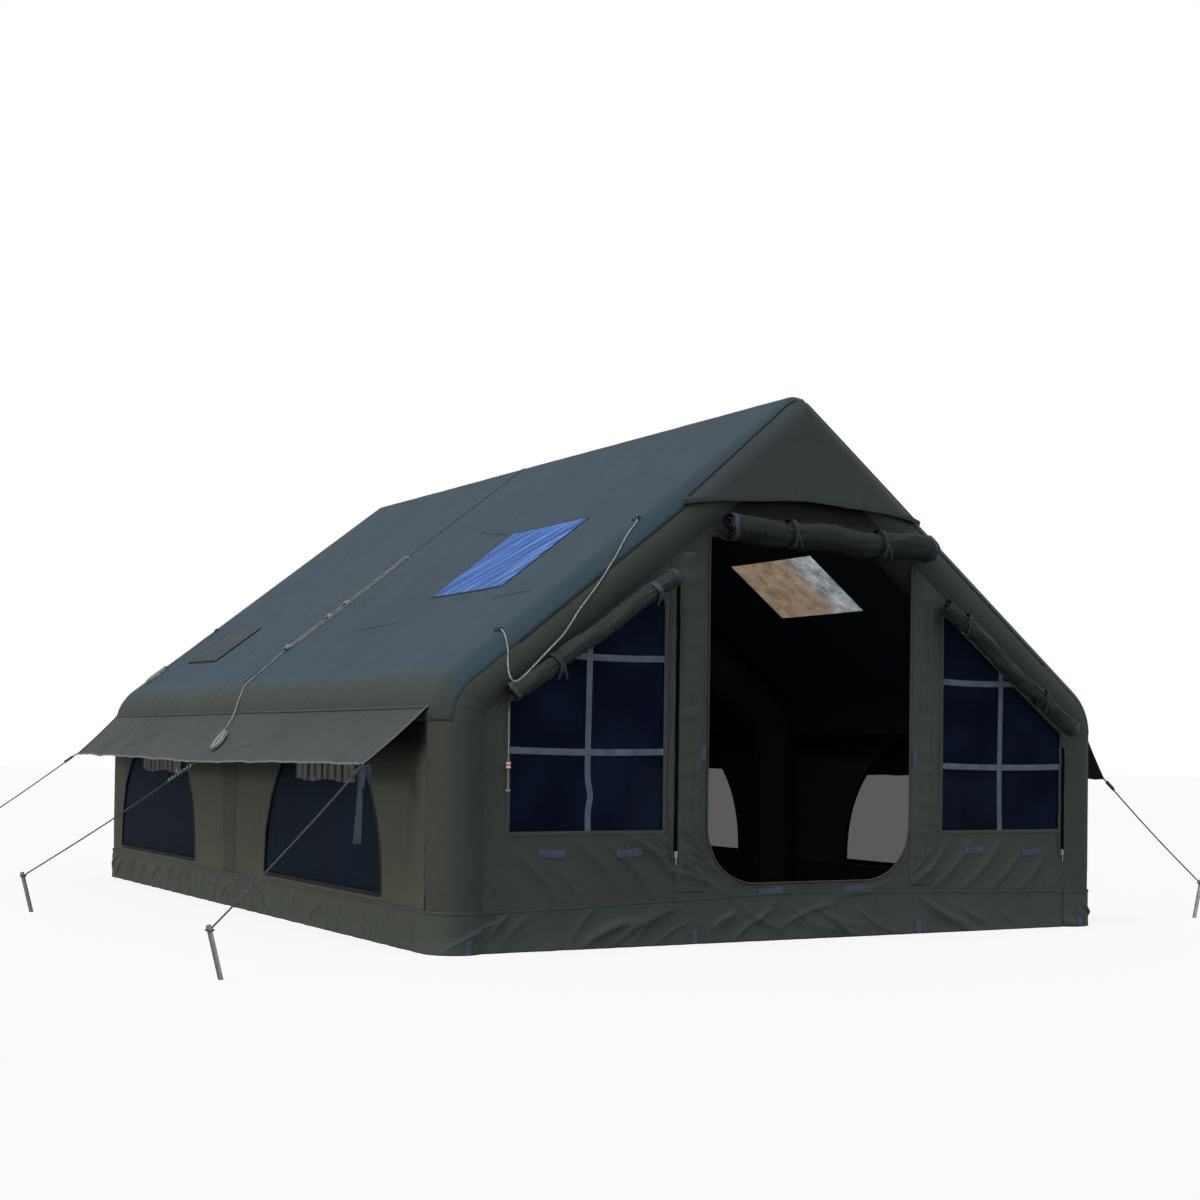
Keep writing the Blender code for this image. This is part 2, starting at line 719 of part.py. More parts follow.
def zip_slider(label, x, back, low, metal):
    """A channel that rides over its tape, with a pull tab. Its origin is on the tape's middle."""
    thick = SLIDER["cheek"]
    shape = bmesh.new()
    add_box(shape, (SLIDER["width"], thick, SLIDER["height"]), Matrix.Translation((0, -thick / 2, 0)))
    slider = mesh_object(f"zip_slider_{label}", shape, metal)
    slider.location = (x, -back, low + SLIDER["height"] / 2)
    for side in (-1, 1):
        cheek = bmesh.new()
        inner = ZIP_WIDTH / 2 + GAP
        across = (inner + SLIDER["width"] / 2) / 2
        place = Matrix.Translation((side * across, (ZIP_THICKNESS - thick) / 2, 0))
        add_box(cheek, (SLIDER["width"] / 2 - inner, ZIP_THICKNESS + thick, SLIDER["height"]), place)
        add_to(slider, f"slider_cheek_{label}_{side + 1}", cheek)
    pull = bmesh.new()
    place = Matrix.Translation((0, -thick * 3 / 2, -SLIDER["pull"] / 2))
    add_box(pull, (ZIP_WIDTH / 2, 2 * thick, SLIDER["pull"]), place)
    add_to(slider, f"slider_pull_{label}", pull)


def tabs(front_wall):
    """Short webbing tabs sewn on the front wall, under the windows and the door."""
    for number, (x, z) in enumerate(TABS):
        shape = bmesh.new()
        place = Matrix.Translation((x, -WALL_FACE_Y - CANVAS / 4, z))
        add_box(shape, (TAB_SIZE[0], CANVAS * 3 / 2, TAB_SIZE[1]), place)
        union(front_wall, cutter(f"tab_{number}", shape))


def base_loops(skirt):
    """Short webbing loops sewn on the skirt's front, down to the ground."""
    for number, x in enumerate(BASE_LOOPS):
        on_leg = abs(x) > HALF_WIDTH - 2 * SLEEVE_INSET
        face = HALF_LENGTH if on_leg else WALL_FACE_Y
        shape = bmesh.new()
        height = LOOP_SIZE[1] - GAP
        place = Matrix.Translation((x, -face - CANVAS / 4, GAP + height / 2))
        add_box(shape, (LOOP_SIZE[0], CANVAS * 3 / 2, height), place)
        union(skirt, cutter(f"base_loop_{number}", shape))


# Rolled cloth and the curtains

ROLLS = {
    "door_roll": {
        "start": (-0.527, 0.0265),
        "end": (0.731, -0.0996),
        "radius": 0.078,
        "turns": 3,
        "tie_shares": (0.28, 0.72),
    },
    "window_roll_left": {
        "start": (-0.792, 0.070),
        "end": (-1.667, -0.010),
        "radius": 0.052,
        "turns": 2,
        "tie_shares": (0.12, 0.72),
    },
    "window_roll_right": {
        "start": (0.86, 0.0744),
        "end": (1.765, 0.020),
        "radius": 0.052,
        "turns": 2,
        "tie_shares": (0.12, 0.72),
    },
}
TIE = 0.002
TIE_WIDTH = 0.03
TIE_SIDES = 16
ROLL_CLOTH = 0.005
ROLL_SPLINE_STEPS = 14
ROLL_CORE_SHARE = 0.25
CURTAIN_PLEATS = 9
CURTAIN_DEPTH = 0.03
CURTAIN_STEPS = 4
CURTAIN_TOP = 1.0
CURTAIN_HEIGHT = 0.24
CURTAIN_HALF_WIDTH = 0.42
CURTAIN_CLOTH = 0.002


def spiral_outline(roll):
    """A cloth strip wound from a loose core out to the roll's radius, as a closed outline."""
    outer = roll["radius"]
    inner = outer * ROLL_CORE_SHARE
    count = roll["turns"] * ROLL_SPLINE_STEPS
    outside = []
    inside = []
    for step in range(count + 1):
        turn = 2 * math.pi * step / ROLL_SPLINE_STEPS
        middle = inner + (outer - inner) * step / count
        direction = Vector((math.cos(turn), math.sin(turn)))
        outside.append(direction * middle)
        inside.append(direction * (middle - ROLL_CLOTH))
    return outside + inside[::-1]


def roll_frame(roll, gap_to_wall):
    """Local Z runs along the roll, from its upper end, and the roll's back is this far from the wall.

    Each end is given as its x and how far it lies below the wall's slanted edge.
    """
    start, end = (Vector((x, 0, wall_top(x) - below)) for x, below in (roll["start"], roll["end"]))
    along = (end - start).normalized()
    forward = Vector((0, -1, 0))
    across = forward.cross(along)
    centre = start + forward * (WALL_FACE_Y + gap_to_wall + roll["radius"])
    turn = Matrix((across, forward, across.cross(forward))).transposed()
    return Matrix.Translation(centre) @ turn.to_4x4(), (end - start).length


def rolls():
    cloth = material("roll_cloth", (0.045, 0.055, 0.050), 0.85)
    for name, roll in ROLLS.items():
        matrix, length = roll_frame(roll, SLEEVE_BULGE + GAP)
        panel(name, [spiral_outline(roll)], length, matrix, cloth)


def roll_ties(front_wall):
    """Webbing loops sewn on the wall, each closed round a roll that it holds."""
    webbing = front_wall.data.materials[0]
    for name, roll in ROLLS.items():
        matrix, length = roll_frame(roll, SLEEVE_BULGE + GAP)
        for number, share in enumerate(roll["tie_shares"]):
            spread = math.cos(math.pi / TIE_SIDES)
            rings = [circle((roll["radius"] + GAP + thick) / spread, TIE_SIDES) for thick in (TIE, 0)]
            place = matrix @ Matrix.Translation((0, 0, share * length))
            turned = place @ Matrix.Rotation(math.pi / TIE_SIDES, 4, "Z")
            ring = as_mesh(panel(f"{name}_tie_{number}", rings, TIE_WIDTH, turned, webbing))
            union(front_wall, make_cutter(ring))
            reach = SLEEVE_BULGE + CANVAS / 2 - TIE / 2
            shape = bmesh.new()
            inward = -roll["radius"] - GAP - TIE / 2 - reach / 2
            tail = place @ Matrix.Translation((0, inward, TIE_WIDTH / 2))
            add_box(shape, (2 * TIE, reach, TIE_WIDTH - TIE), tail)
            union(front_wall, cutter(f"{name}_tie_tail_{number}", shape))


def cord_tab(front_wall):
    """A stub of webbing on the wall that the window cord hangs from."""
    x, y, top = CORD_TOP
    shape = bmesh.new()
    reach = -y - WALL_FACE_Y + CANVAS / 2 + CORD_RADIUS
    place = Matrix.Translation((x, y - CORD_RADIUS + reach / 2, top + GAP + CORD_RADIUS))
    add_box(shape, (4 * CORD_RADIUS, reach, 2 * CORD_RADIUS), place)
    union(front_wall, cutter("cord_tab", shape))


def curtains():
    """Curtains gathered at the top of each left window, pleated along the wall."""
    cloth = material("curtain_cloth", (0.42, 0.41, 0.38), 0.9)
    wave_middle = HALF_WIDTH - CANVAS - GAP - NET - GAP - CURTAIN_CLOTH * 2 / 3 - CURTAIN_DEPTH / 2
    for bay, centre in zip(("front", "rear"), BELL_CENTRES, strict=True):
        points = []
        count = CURTAIN_PLEATS * CURTAIN_STEPS
        for step in range(count + 1):
            y = centre + CURTAIN_HALF_WIDTH * (2 * step / count - 1)
            wave = CURTAIN_DEPTH / 2 * math.cos(2 * math.pi * step / CURTAIN_STEPS)
            points.append((-wave_middle - wave, y))
        low = [(x, y, CURTAIN_TOP - CURTAIN_HEIGHT) for x, y in points]
        high = [(x, y, CURTAIN_TOP) for x, y in points]
        grid_sheet(f"curtain_{bay}", [low, high], CURTAIN_CLOTH, cloth, 0)


# Awnings

AWNING_WIDTH = 0.393
AWNING_DROPS = {"left": math.radians(43), "right": math.radians(54)}
AWNING_SAG = 0.022
AWNING_ENDS = {"root": 2.65, "edge": 2.60}
AWNING_ROWS = 9
AWNING_FOLD_SHARES = (0, 0.5, 1)
PENNANT_WIDTHS = (0.012, 0.045)
PENNANT_LENGTH = 0.36
PENNANT_IN = 0.06


def awning_root(side):
    """The first fold of the roof's eave above its seam, just off the canvas."""
    outline = arch_outline(0, 0, RIDGE_FOLD)
    return Vector((side * (outline[-3].x + GAP + CANVAS / 2), 0, outline[-3].y))


def awning_point(side, label, share_out, share_along):
    """A point on the awning's middle surface, by its shares outward and from the front end to the rear."""
    drop = AWNING_DROPS[label]
    sag = AWNING_SAG * share_out * math.sin(math.pi * share_along)
    out = Vector((side * math.cos(drop), 0, -math.sin(drop))) * AWNING_WIDTH * share_out
    reach = AWNING_ENDS["root"] + (AWNING_ENDS["edge"] - AWNING_ENDS["root"]) * share_out
    return awning_root(side) + out + Vector((0, reach * (2 * share_along - 1), -sag))


def awnings():
    canvas = material("awning_canvas", (0.092, 0.105, 0.095), 0.8)
    webbing = material("pennant_webbing", (0.10, 0.14, 0.22), 0.75)
    for side, label in ((-1, "left"), (1, "right")):
        rows = []
        for share_out in AWNING_FOLD_SHARES:
            shares = [row / (AWNING_ROWS - 1) for row in range(AWNING_ROWS)]
            rows.append([awning_point(side, label, share_out, share) for share in shares])
        grid_sheet(f"awning_{label}", rows, CANVAS, canvas, 0)
    tip = awning_point(-1, "left", 1, 0)
    top, bottom = PENNANT_WIDTHS
    outline = [(-top / 2, 0), (-bottom / 2, -PENNANT_LENGTH + bottom), (0, -PENNANT_LENGTH)]
    outline += [(bottom / 2, -PENNANT_LENGTH + bottom), (top / 2, 0)]
    matrix = front_frame(tip.y + PENNANT_IN) @ Matrix.Translation((tip.x, tip.z - CANVAS - GAP, 0))
    panel("awning_strap", [outline], CANVAS, matrix, webbing)


# Valve caps

CAP_RADIUS = 0.024
CAP = 0.008
CAP_LUG = (0.014, 0.012, 0.006)


def valve_caps():
    plastic = material("cap_plastic", (0.03, 0.03, 0.032), 0.35)
    for where, y in ARCHES.items():
        arm = CAP_RADIUS + CAP_LUG[1] / 2
        seat = SLEEVE_RADIUS + GAP + FLANGE + GAP + CAP / 2
        shape = bmesh.new()
        add_cylinder(shape, CAP_RADIUS, CAP, Matrix.Translation((0, -arm, 0)), 2 * TUBE_SIDES)
        cap = mesh_object(f"valve_cap_{where}", shape, plastic)
        lug = bmesh.new()
        width, inward, thick = CAP_LUG
        place = Matrix.Translation((0, (thick / 2 - inward) / 2, 0))
        add_box(lug, (width, inward + thick / 2, thick), place)
        add_to(cap, f"cap_lug_{where}", lug)
        cap.matrix_world = valve_frame(y) @ Matrix.Translation((0, arm, seat))


# Ropes, hanks, guys and stakes

ROUTE_SPACING = 0.022
EDGE_STEP_DEGREES = 9
GUY_SPACING = 0.10
GUY_SAG = 0.012
STAKE_RADIUS = 0.011
STAKE_TOP = 0.21
STAKE_LEAN = math.radians(14)
STAKES = {
    "front_left": (-3.17, -3.19),
    "middle_left": (-3.18, 0.10),
    "back_left": (-3.15, 2.88),
    "front_right": (2.95, -2.65),
}
GUY_STARTS = {
    "front_left": ("left", 0.0),
    "middle_left": ("left", 0.476),
    "back_left": ("left", 1.0),
    "front_right": ("right", 0.0),
}
TAIL_YS = (0.13, 0.18)
TAIL_SHARES = ((0.10, 0.502), (0.22, 0.492))
BACK_HANK = {"y": 2.58, "down": 2.20}
HANK_END_SHARES = ((0.42, 0.475), (0.78, 0.455))
HANK_LOOPS = 3
HANK_LOOP_POINTS = 24
HANK_HALF_LENGTH = 0.050
HANK_HALF_WIDTH = 0.020
HANK_WAIST_SHARE = 0.35
HANK_STEP = 0.0105
HANK_CLIMB = 0.0095
CORD_RADIUS = 0.0025
CORD_TOP = (-1.655, -2.80, 1.118)
CORD_BOTTOM = 0.748
STOPPER_Z = 0.862
STOPPER_RADIUS = 0.011
STOPPER_HEIGHT = 0.034


def on_roof(y, x):
    """A rope's place on the left slope, at this y and x, lying on the canvas."""
    return slope_point(-1, y, abs(x) / math.cos(PITCH), ROPE_RADIUS + GAP)


def hank(name, matrix, rope):
    """A rope wound in loops that spiral in on the cloth, climb, and spiral out, drawn in at the waist."""
    points = []
    total = 2 * HANK_LOOPS
    for step in range(total * HANK_LOOP_POINTS + 1):
        loops = step / HANK_LOOP_POINTS
        turn = 2 * math.pi * loops
        out = abs(loops - HANK_LOOPS)
        climb = min(1, max(0, 2 * (loops - HANK_LOOPS) + 0.5))
        waist = 1 - HANK_WAIST_SHARE * abs(math.sin(turn)) ** 3
        along = (HANK_HALF_LENGTH + HANK_STEP * out) * math.cos(turn)
        across = (HANK_HALF_WIDTH * waist + HANK_STEP * out) * math.sin(turn)
        points.append(matrix @ Vector((across, along, ROPE_RADIUS + GAP + HANK_CLIMB * climb)))
    print(name, "least gap of the rope to itself, in metres:", round(least_gap(points), 5))
    return tube(name, points, ROPE_RADIUS, rope, 6)


def hank_lead(matrix):
    """The last places of the rope that leads to a hank, which it meets end to end."""
    top = HANK_HALF_LENGTH + HANK_STEP * HANK_LOOPS
    height = ROPE_RADIUS + GAP
    places = ((-9, 7), (-5, 2), (-2, 0))
    lead = [matrix @ Vector((x * ROPE_RADIUS, top + y * ROPE_RADIUS, height)) for x, y in places]
    return [*lead, matrix @ Vector((-3 * GAP, top, height))]


def least_gap(points):
    """The smallest distance between the rope's own runs, less its diameter, a quarter loop or more apart."""
    least = math.inf
    apart = HANK_LOOP_POINTS // 4
    for index, point in enumerate(points):
        for other in points[index + apart :]:
            least = min(least, (point - other).length)
    return least - 2 * ROPE_RADIUS


def on_front_edge(x, degrees):
    """A rope's place on the rounding of the roof's front edge, this far round it from the slope."""
    lift = ROPE_RADIUS + 2 * GAP
    turn = math.radians(degrees)
    inset = SLEEVE_INSET - (SLEEVE_INSET + lift) * math.cos(turn)
    y = -END_ARCH_Y - (SLEEVE_INSET + lift) * math.sin(turn)
    return Vector((x, y, RIDGE + x * SLOPE - inset / math.cos(PITCH)))


def round_front_edge(places):
    """A rope's run on that rounding, through these pairs of x and degrees."""
    run = [on_front_edge(*places[0])]
    for (x_start, start), (x_end, end) in zip(places, places[1:], strict=False):
        steps = math.ceil(abs(end - start) / EDGE_STEP_DEGREES)
        for step in range(1, steps + 1):
            share = step / steps
            x = x_start + (x_end - x_start) * share
            run.append(on_front_edge(x, start + (end - start) * share))
    return run


def roof_ropes():
    rope = material("light_rope", (0.23, 0.24, 0.22), 0.8)
    front = [
        *round_front_edge(
            [(-0.905, 0), (-0.930, 16), (-0.998, 28), (-1.086, 50), (-1.190, 69), (-1.300, 84)],
        ),
        (-1.390, -2.830, 1.475),
        (-1.490, -2.885, 1.400),
        (-1.628, -2.918, 1.280),
        (-1.685, -2.920, 1.240),
        (-1.708, -2.905, 1.268),
        (-1.690, -2.850, 1.325),
        *round_front_edge([(-1.664, 72), (-1.657, 58), (-1.645, 20), (-1.640, 0)]),
    ]
    tube("rope_front", smooth_route(front, ROUTE_SPACING), ROPE_RADIUS, rope)
    doubled = [
        on_roof(0.270, -0.838),
        on_roof(0.242, -1.088),
        on_roof(0.229, -1.351),
        on_roof(0.250, -1.56),
        on_roof(0.276, -1.60),
        on_roof(0.302, -1.56),
        on_roof(0.296, -1.351),
        on_roof(0.304, -1.088),
        on_roof(0.318, -0.838),
    ]
    tube("rope_middle", smooth_route(doubled, ROUTE_SPACING), ROPE_RADIUS, rope)
    tail_and_hanks(rope)


def tail_and_hanks(rope):
    """The tail from the doubled rope over the eave to its hank on the awning, and the back rope's hank."""
    top, bottom = (awning_point(-1, "left", *shares) for shares in HANK_END_SHARES)
    lay = (top - bottom).normalized()
    normal = lay.cross(Vector((0, 1, 0))).normalized()
    matrix = frame((top + bottom) / 2 + normal * CANVAS, lay.cross(normal), lay)
    hank("rope_hank_middle", matrix, rope)
    bend = arch_outline(-ROPE_RADIUS - GAP, 0, RIDGE_FOLD)[4 : BEND_STEPS + 2]
    over = [(point.x, y, point.y) for point, y in zip(bend, TAIL_YS, strict=True)]
    lift = normal * (3 * CANVAS + ROPE_RADIUS)
    on_awning = [awning_point(-1, "left", *shares) + lift for shares in TAIL_SHARES]
    route = [on_roof(0.276, -1.625), on_roof(0.235, -1.73), *reversed(over), *on_awning, *hank_lead(matrix)]
    tube("rope_tail", smooth_route(route, ROUTE_SPACING), ROPE_RADIUS, rope)
    down_slope = slope_frame(-1).to_3x3() @ Vector((0, 1, 0))
    at = slope_point(-1, BACK_HANK["y"], BACK_HANK["down"], 0)
    matrix = frame(at, down_slope.cross(slope_frame(-1).to_3x3() @ Vector((0, 0, 1))) * -1, -down_slope)
    hank("rope_hank_back", matrix, rope)
    back = [on_roof(2.60, -1.30), on_roof(2.61, -1.40), on_roof(2.60, -1.50), *hank_lead(matrix)]
    tube("rope_back", smooth_route(back, ROUTE_SPACING), ROPE_RADIUS, rope)


def guys():
    rope = material("guy_rope", (0.035, 0.037, 0.04), 0.8)
    steel = material("stake_steel", (0.25, 0.25, 0.25), 0.45, 1.0)
    for where, (x, y) in STAKES.items():
        label, share = GUY_STARTS[where]
        side = -1 if label == "left" else 1
        edge = awning_point(side, label, 1, share)
        tie = Vector((x, y, STAKE_TOP - STAKE_RADIUS))
        along = (tie - edge).normalized()
        clear = ROPE_RADIUS * abs(along.y) if 0 < share < 1 else CANVAS / 2
        start = edge + along * (GAP + clear)
        slant = along.dot(stake_lean(side))
        end = tie - along * (STAKE_RADIUS + GAP + ROPE_RADIUS * abs(slant)) / math.sqrt(1 - slant**2)
        count = round((end - start).length / GUY_SPACING)
        points = []
        for step in range(count + 1):
            place = step / count
            sag = Vector((0, 0, -GUY_SAG * math.sin(math.pi * place)))
            points.append(start + (end - start) * place + sag)
        tube(f"guy_{where}", points, ROPE_RADIUS, rope)
        stake(f"stake_{where}", tie, side, steel)


def stake_lean(side):
    return Vector((side * math.sin(STAKE_LEAN), 0, math.cos(STAKE_LEAN)))


def stake(name, tie, side, steel):
    """A round steel stake that leans away from the tent, cut off level with the ground."""
    lean = stake_lean(side)
    below = tie.z / math.cos(STAKE_LEAN) + STAKE_RADIUS
    above = 2 * STAKE_RADIUS
    shape = bmesh.new()
    turn = lean.to_track_quat("Z", "Y").to_matrix().to_4x4()
    middle = tie + lean * (above - below) / 2
    add_cylinder(shape, STAKE_RADIUS, above + below, Matrix.Translation(middle) @ turn)
    bmesh.ops.bisect_plane(
        shape,
        geom=shape.verts[:] + shape.edges[:] + shape.faces[:],
        plane_co=(0, 0, 0),
        plane_no=(0, 0, -1),
        clear_outer=True,
    )
    bmesh.ops.contextual_create(shape, geom=[edge for edge in shape.edges if edge.is_boundary])
    mesh_object(name, shape, steel)


def window_cord():
    cord_colour = material("window_cord", (0.05, 0.05, 0.05), 0.8)
    red = material("stopper_plastic", (0.45, 0.05, 0.05), 0.4)
    x, y, top = CORD_TOP
    points = smooth_route([(x, y, top), (x, y, CORD_BOTTOM)], ROUTE_SPACING)
    tube("window_cord", points, CORD_RADIUS, cord_colour)
    bore = (CORD_RADIUS + GAP) / math.cos(math.pi / TUBE_SIDES)
    rings = [circle(STOPPER_RADIUS, TUBE_SIDES), circle(bore, TUBE_SIDES)]
    low = Matrix.Translation((x, y, STOPPER_Z - STOPPER_HEIGHT / 2))
    panel("cord_stopper", rings, STOPPER_HEIGHT, low, red)


clear_scene()
foot()
arches()
ridge_beam()
walls()
roofs()
stove_cover()
hood()
front_nets()
side_nets()
straps()
jambs()
zips()
rolls()
curtains()
awnings()
valve_caps()
roof_ropes()
guys()
window_cord()
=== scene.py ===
"""Looks of an inflatable ridge tent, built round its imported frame. Metres, +Z up, the door looks along -Y."""

import math

import bmesh
import bpy
import numpy as np
from mathutils import Matrix, Vector
from mathutils.geometry import delaunay_2d_cdt


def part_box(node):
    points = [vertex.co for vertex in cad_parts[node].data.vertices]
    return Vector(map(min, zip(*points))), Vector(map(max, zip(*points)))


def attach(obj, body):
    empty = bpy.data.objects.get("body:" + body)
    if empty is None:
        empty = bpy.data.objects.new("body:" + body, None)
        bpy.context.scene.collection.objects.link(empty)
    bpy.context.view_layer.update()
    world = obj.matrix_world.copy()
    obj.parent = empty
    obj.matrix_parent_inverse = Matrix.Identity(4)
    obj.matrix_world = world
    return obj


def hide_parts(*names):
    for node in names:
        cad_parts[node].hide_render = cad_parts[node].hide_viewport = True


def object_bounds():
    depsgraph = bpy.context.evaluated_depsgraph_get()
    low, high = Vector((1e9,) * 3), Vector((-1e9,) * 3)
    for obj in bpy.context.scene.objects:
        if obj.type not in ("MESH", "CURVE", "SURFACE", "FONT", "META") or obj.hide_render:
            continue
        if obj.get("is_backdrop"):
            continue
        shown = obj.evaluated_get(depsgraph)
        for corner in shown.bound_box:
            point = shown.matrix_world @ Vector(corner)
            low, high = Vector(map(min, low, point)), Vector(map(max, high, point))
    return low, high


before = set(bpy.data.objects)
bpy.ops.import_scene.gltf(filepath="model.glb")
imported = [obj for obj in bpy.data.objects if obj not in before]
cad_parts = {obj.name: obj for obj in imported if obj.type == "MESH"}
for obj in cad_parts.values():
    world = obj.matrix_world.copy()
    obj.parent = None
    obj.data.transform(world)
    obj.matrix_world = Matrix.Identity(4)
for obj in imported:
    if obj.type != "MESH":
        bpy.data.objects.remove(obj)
cad_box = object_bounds()

# Camera: it stands about a metre above the ground, off the tent's front left corner. It looks almost level,
# with a slight roll, and its frame is shifted up. Its values are fitted to nine corners of the tent.

eye = Vector((-5.498, -10.472, 0.9451))
turned, tipped, rolled = (math.radians(angle) for angle in (29.5759, 1.1151, 0.7473))
look = Vector((math.sin(turned) * math.cos(tipped), math.cos(turned) * math.cos(tipped), math.sin(tipped)))
level_right = Vector((math.cos(turned), -math.sin(turned), 0))
level_up = level_right.cross(look)
right = level_right * math.cos(rolled) + level_up * math.sin(rolled)
up = level_up * math.cos(rolled) - level_right * math.sin(rolled)
lens_data = bpy.data.cameras.new("camera")
lens_data.lens = 56.22
lens_data.sensor_width = 36
lens_data.shift_x = -0.0053
lens_data.shift_y = 0.0930
lens_data.clip_end = 200
camera = bpy.data.objects.new("camera", lens_data)
camera.matrix_world = Matrix.Translation(eye) @ Matrix((right, up, -look)).transposed().to_4x4()
bpy.context.scene.collection.objects.link(camera)
bpy.context.scene.camera = camera

# Ropes: 8 mm three-strand rope lies on the left slope, tied to webbing eyes, and its spare ends are wound
# into hanks. Four darker guys hold the awnings' edges out to steel stakes. Rope is laid from twisted strands.

RIDGE = 2.76
EAVE = 1.21
HALF_WIDTH = 2
SLOPE = (RIDGE - EAVE) / HALF_WIDTH
PITCH = math.atan(SLOPE)
ROPE = 0.008
ON_CANVAS = 0.0043


def noded(name, colour, roughness, metallic=0.0):
    """A material with its Principled shader, ready for its own texture nodes."""
    made = bpy.data.materials.new(name)
    made.use_nodes = True
    made.diffuse_color = (*colour, 1)
    shader = made.node_tree.nodes["Principled BSDF"]
    shader.inputs["Base Color"].default_value = (*colour, 1)
    shader.inputs["Roughness"].default_value = roughness
    shader.inputs["Metallic"].default_value = metallic
    return made, made.node_tree.nodes, made.node_tree.links, shader


def new_node(nodes, kind, **settings):
    """A node with these values, each given as an attribute or by its socket's name with spaces as underscores."""
    made = nodes.new(kind)
    for key, value in settings.items():
        if hasattr(made, key):
            setattr(made, key, value)
        else:
            made.inputs[key.replace("_", " ")].default_value = value
    return made


def mottled(nodes, links, where, colours, scale, detail=4.0):
    """A colour that wanders between these two over the surface."""
    noise = new_node(nodes, "ShaderNodeTexNoise", Scale=scale, Detail=detail)
    links.new(where, noise.inputs["Vector"])
    ramp = nodes.new("ShaderNodeValToRGB")
    for element, position, colour in zip(ramp.color_ramp.elements, (0.32, 0.68), colours):
        element.position, element.color = position, (*colour, 1)
    links.new(noise.outputs["Fac"], ramp.inputs["Fac"])
    return ramp.outputs["Color"]


def roughened(nodes, links, shader, height, strength, distance):
    """Lets this height stand out of the surface as a bump."""
    bump = new_node(nodes, "ShaderNodeBump", Strength=strength, Distance=distance)
    links.new(height, bump.inputs["Height"])
    links.new(bump.outputs["Normal"], shader.inputs["Normal"])


def rope_fibre(name, dark, light):
    made, nodes, links, shader = noded(name, light, 0.85)
    where = nodes.new("ShaderNodeTexCoord").outputs["Object"]
    links.new(mottled(nodes, links, where, (dark, light), 90.0), shader.inputs["Base Color"])
    fibre = new_node(nodes, "ShaderNodeTexNoise", Scale=900.0, Detail=2.0)
    links.new(where, fibre.inputs["Vector"])
    roughened(nodes, links, shader, fibre.outputs["Fac"], 0.5, 0.0006)
    return made


def smooth_run(places, spacing):
    """Points at about this spacing on one smooth curve through these places."""
    ends = [Vector(place) for place in places]
    padded = [2 * ends[0] - ends[1], *ends, 2 * ends[-1] - ends[-2]]
    run = []
    for before, start, end, after in zip(padded, padded[1:], padded[2:], padded[3:]):
        steps = max(1, round((end - start).length / spacing))
        for share in (step / steps for step in range(steps)):
            bend = (2 * before - 5 * start + 4 * end - after) * share**2
            twist = (-before + 3 * start - 3 * end + after) * share**3
            run.append((2 * start + (end - before) * share + bend + twist) / 2)
    run.append(ends[-1])
    return [tuple(point) for point in run]


def on_body(piece, material, body="tent"):
    """Links a piece, gives it its finish and lets it ride on a body."""
    bpy.context.scene.collection.objects.link(piece)
    piece.data.materials.append(material)
    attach(piece, body)
    return piece


def slotted(piece):
    """Hands the piece back unchanged."""
    return piece


def smooth_mesh(name, points, faces, sharp=None):
    data = bpy.data.meshes.new(name)
    data.from_pydata([tuple(point) for point in points], [], faces)
    data.shade_smooth()
    if sharp:
        data.set_sharp_from_angle(angle=math.radians(sharp))
    return bpy.data.objects.new(name, data)


def in_metres(piece, flat):
    """Gives a mesh its places on the flat cloth, in metres, one for each point."""
    layer = piece.data.uv_layers.new(name="cloth_metres")
    corners = np.empty(len(piece.data.loops), int)
    piece.data.loops.foreach_get("vertex_index", corners)
    layer.data.foreach_set("uv", np.asarray(flat, float)[corners].reshape(-1))
    return piece


def metres_along(path):
    """How far along its path each point lies."""
    return np.concatenate([[0], np.cumsum(np.linalg.norm(np.diff(path, axis=0), axis=1))])


def ring_faces(rings, count, caps=True):
    """The faces between rings of this many points, and a cap at each end."""
    faces = []
    for first in range(0, (rings - 1) * count, count):
        for step in range(count):
            a, b = first + step, first + (step + 1) % count
            faces.append((a, a + count, b + count, b))
    if caps:
        faces += [tuple(range(count)), tuple(range((rings - 1) * count, rings * count))[::-1]]
    return faces


def swept(name, run, section, caps=True):
    """A mesh whose section(share, metres along) is a ring of (right, up) places carried along the run."""
    path = np.array(run)
    along = metres_along(path)
    tangents = np.gradient(path, axis=0)
    tangents /= np.linalg.norm(tangents, axis=1)[:, None]
    side = np.cross(tangents[0], (0, 0, 1) if abs(tangents[0][2]) < 0.9 else (1, 0, 0))
    points = []
    for index, tangent in enumerate(tangents):
        side = side - tangent * (side @ tangent)
        side /= np.linalg.norm(side)
        over = np.cross(side, tangent)
        ring = section(along[index] / along[-1], along[index])
        points += [path[index] + side * across + over * high for across, high in ring]
    count = len(points) // len(path)
    turns = np.linspace(0, 1, count, endpoint=False) * math.pi * 2 * math.hypot(*ring[0])
    flat = np.stack([np.tile(turns, len(path)), np.repeat(along, count)], axis=1)
    return in_metres(smooth_mesh(name, points, ring_faces(len(path), count, caps)), flat)


def laid_rope(name, run, diameter, material, strands=3, pitch=0.034, sides=12):
    """Strands twisted round each other: the section has a lobe for each strand and turns along the rope."""

    def section(share, along):
        ring = []
        for step in range(sides):
            turn = 2 * math.pi * step / sides
            lobe = abs(math.cos(strands / 2 * (turn - 2 * math.pi * along / pitch)))
            radius = diameter / 2 * (0.84 + 0.18 * lobe)
            ring.append((radius * math.cos(turn), radius * math.sin(turn)))
        return ring

    return on_body(swept(name, run, section), material)


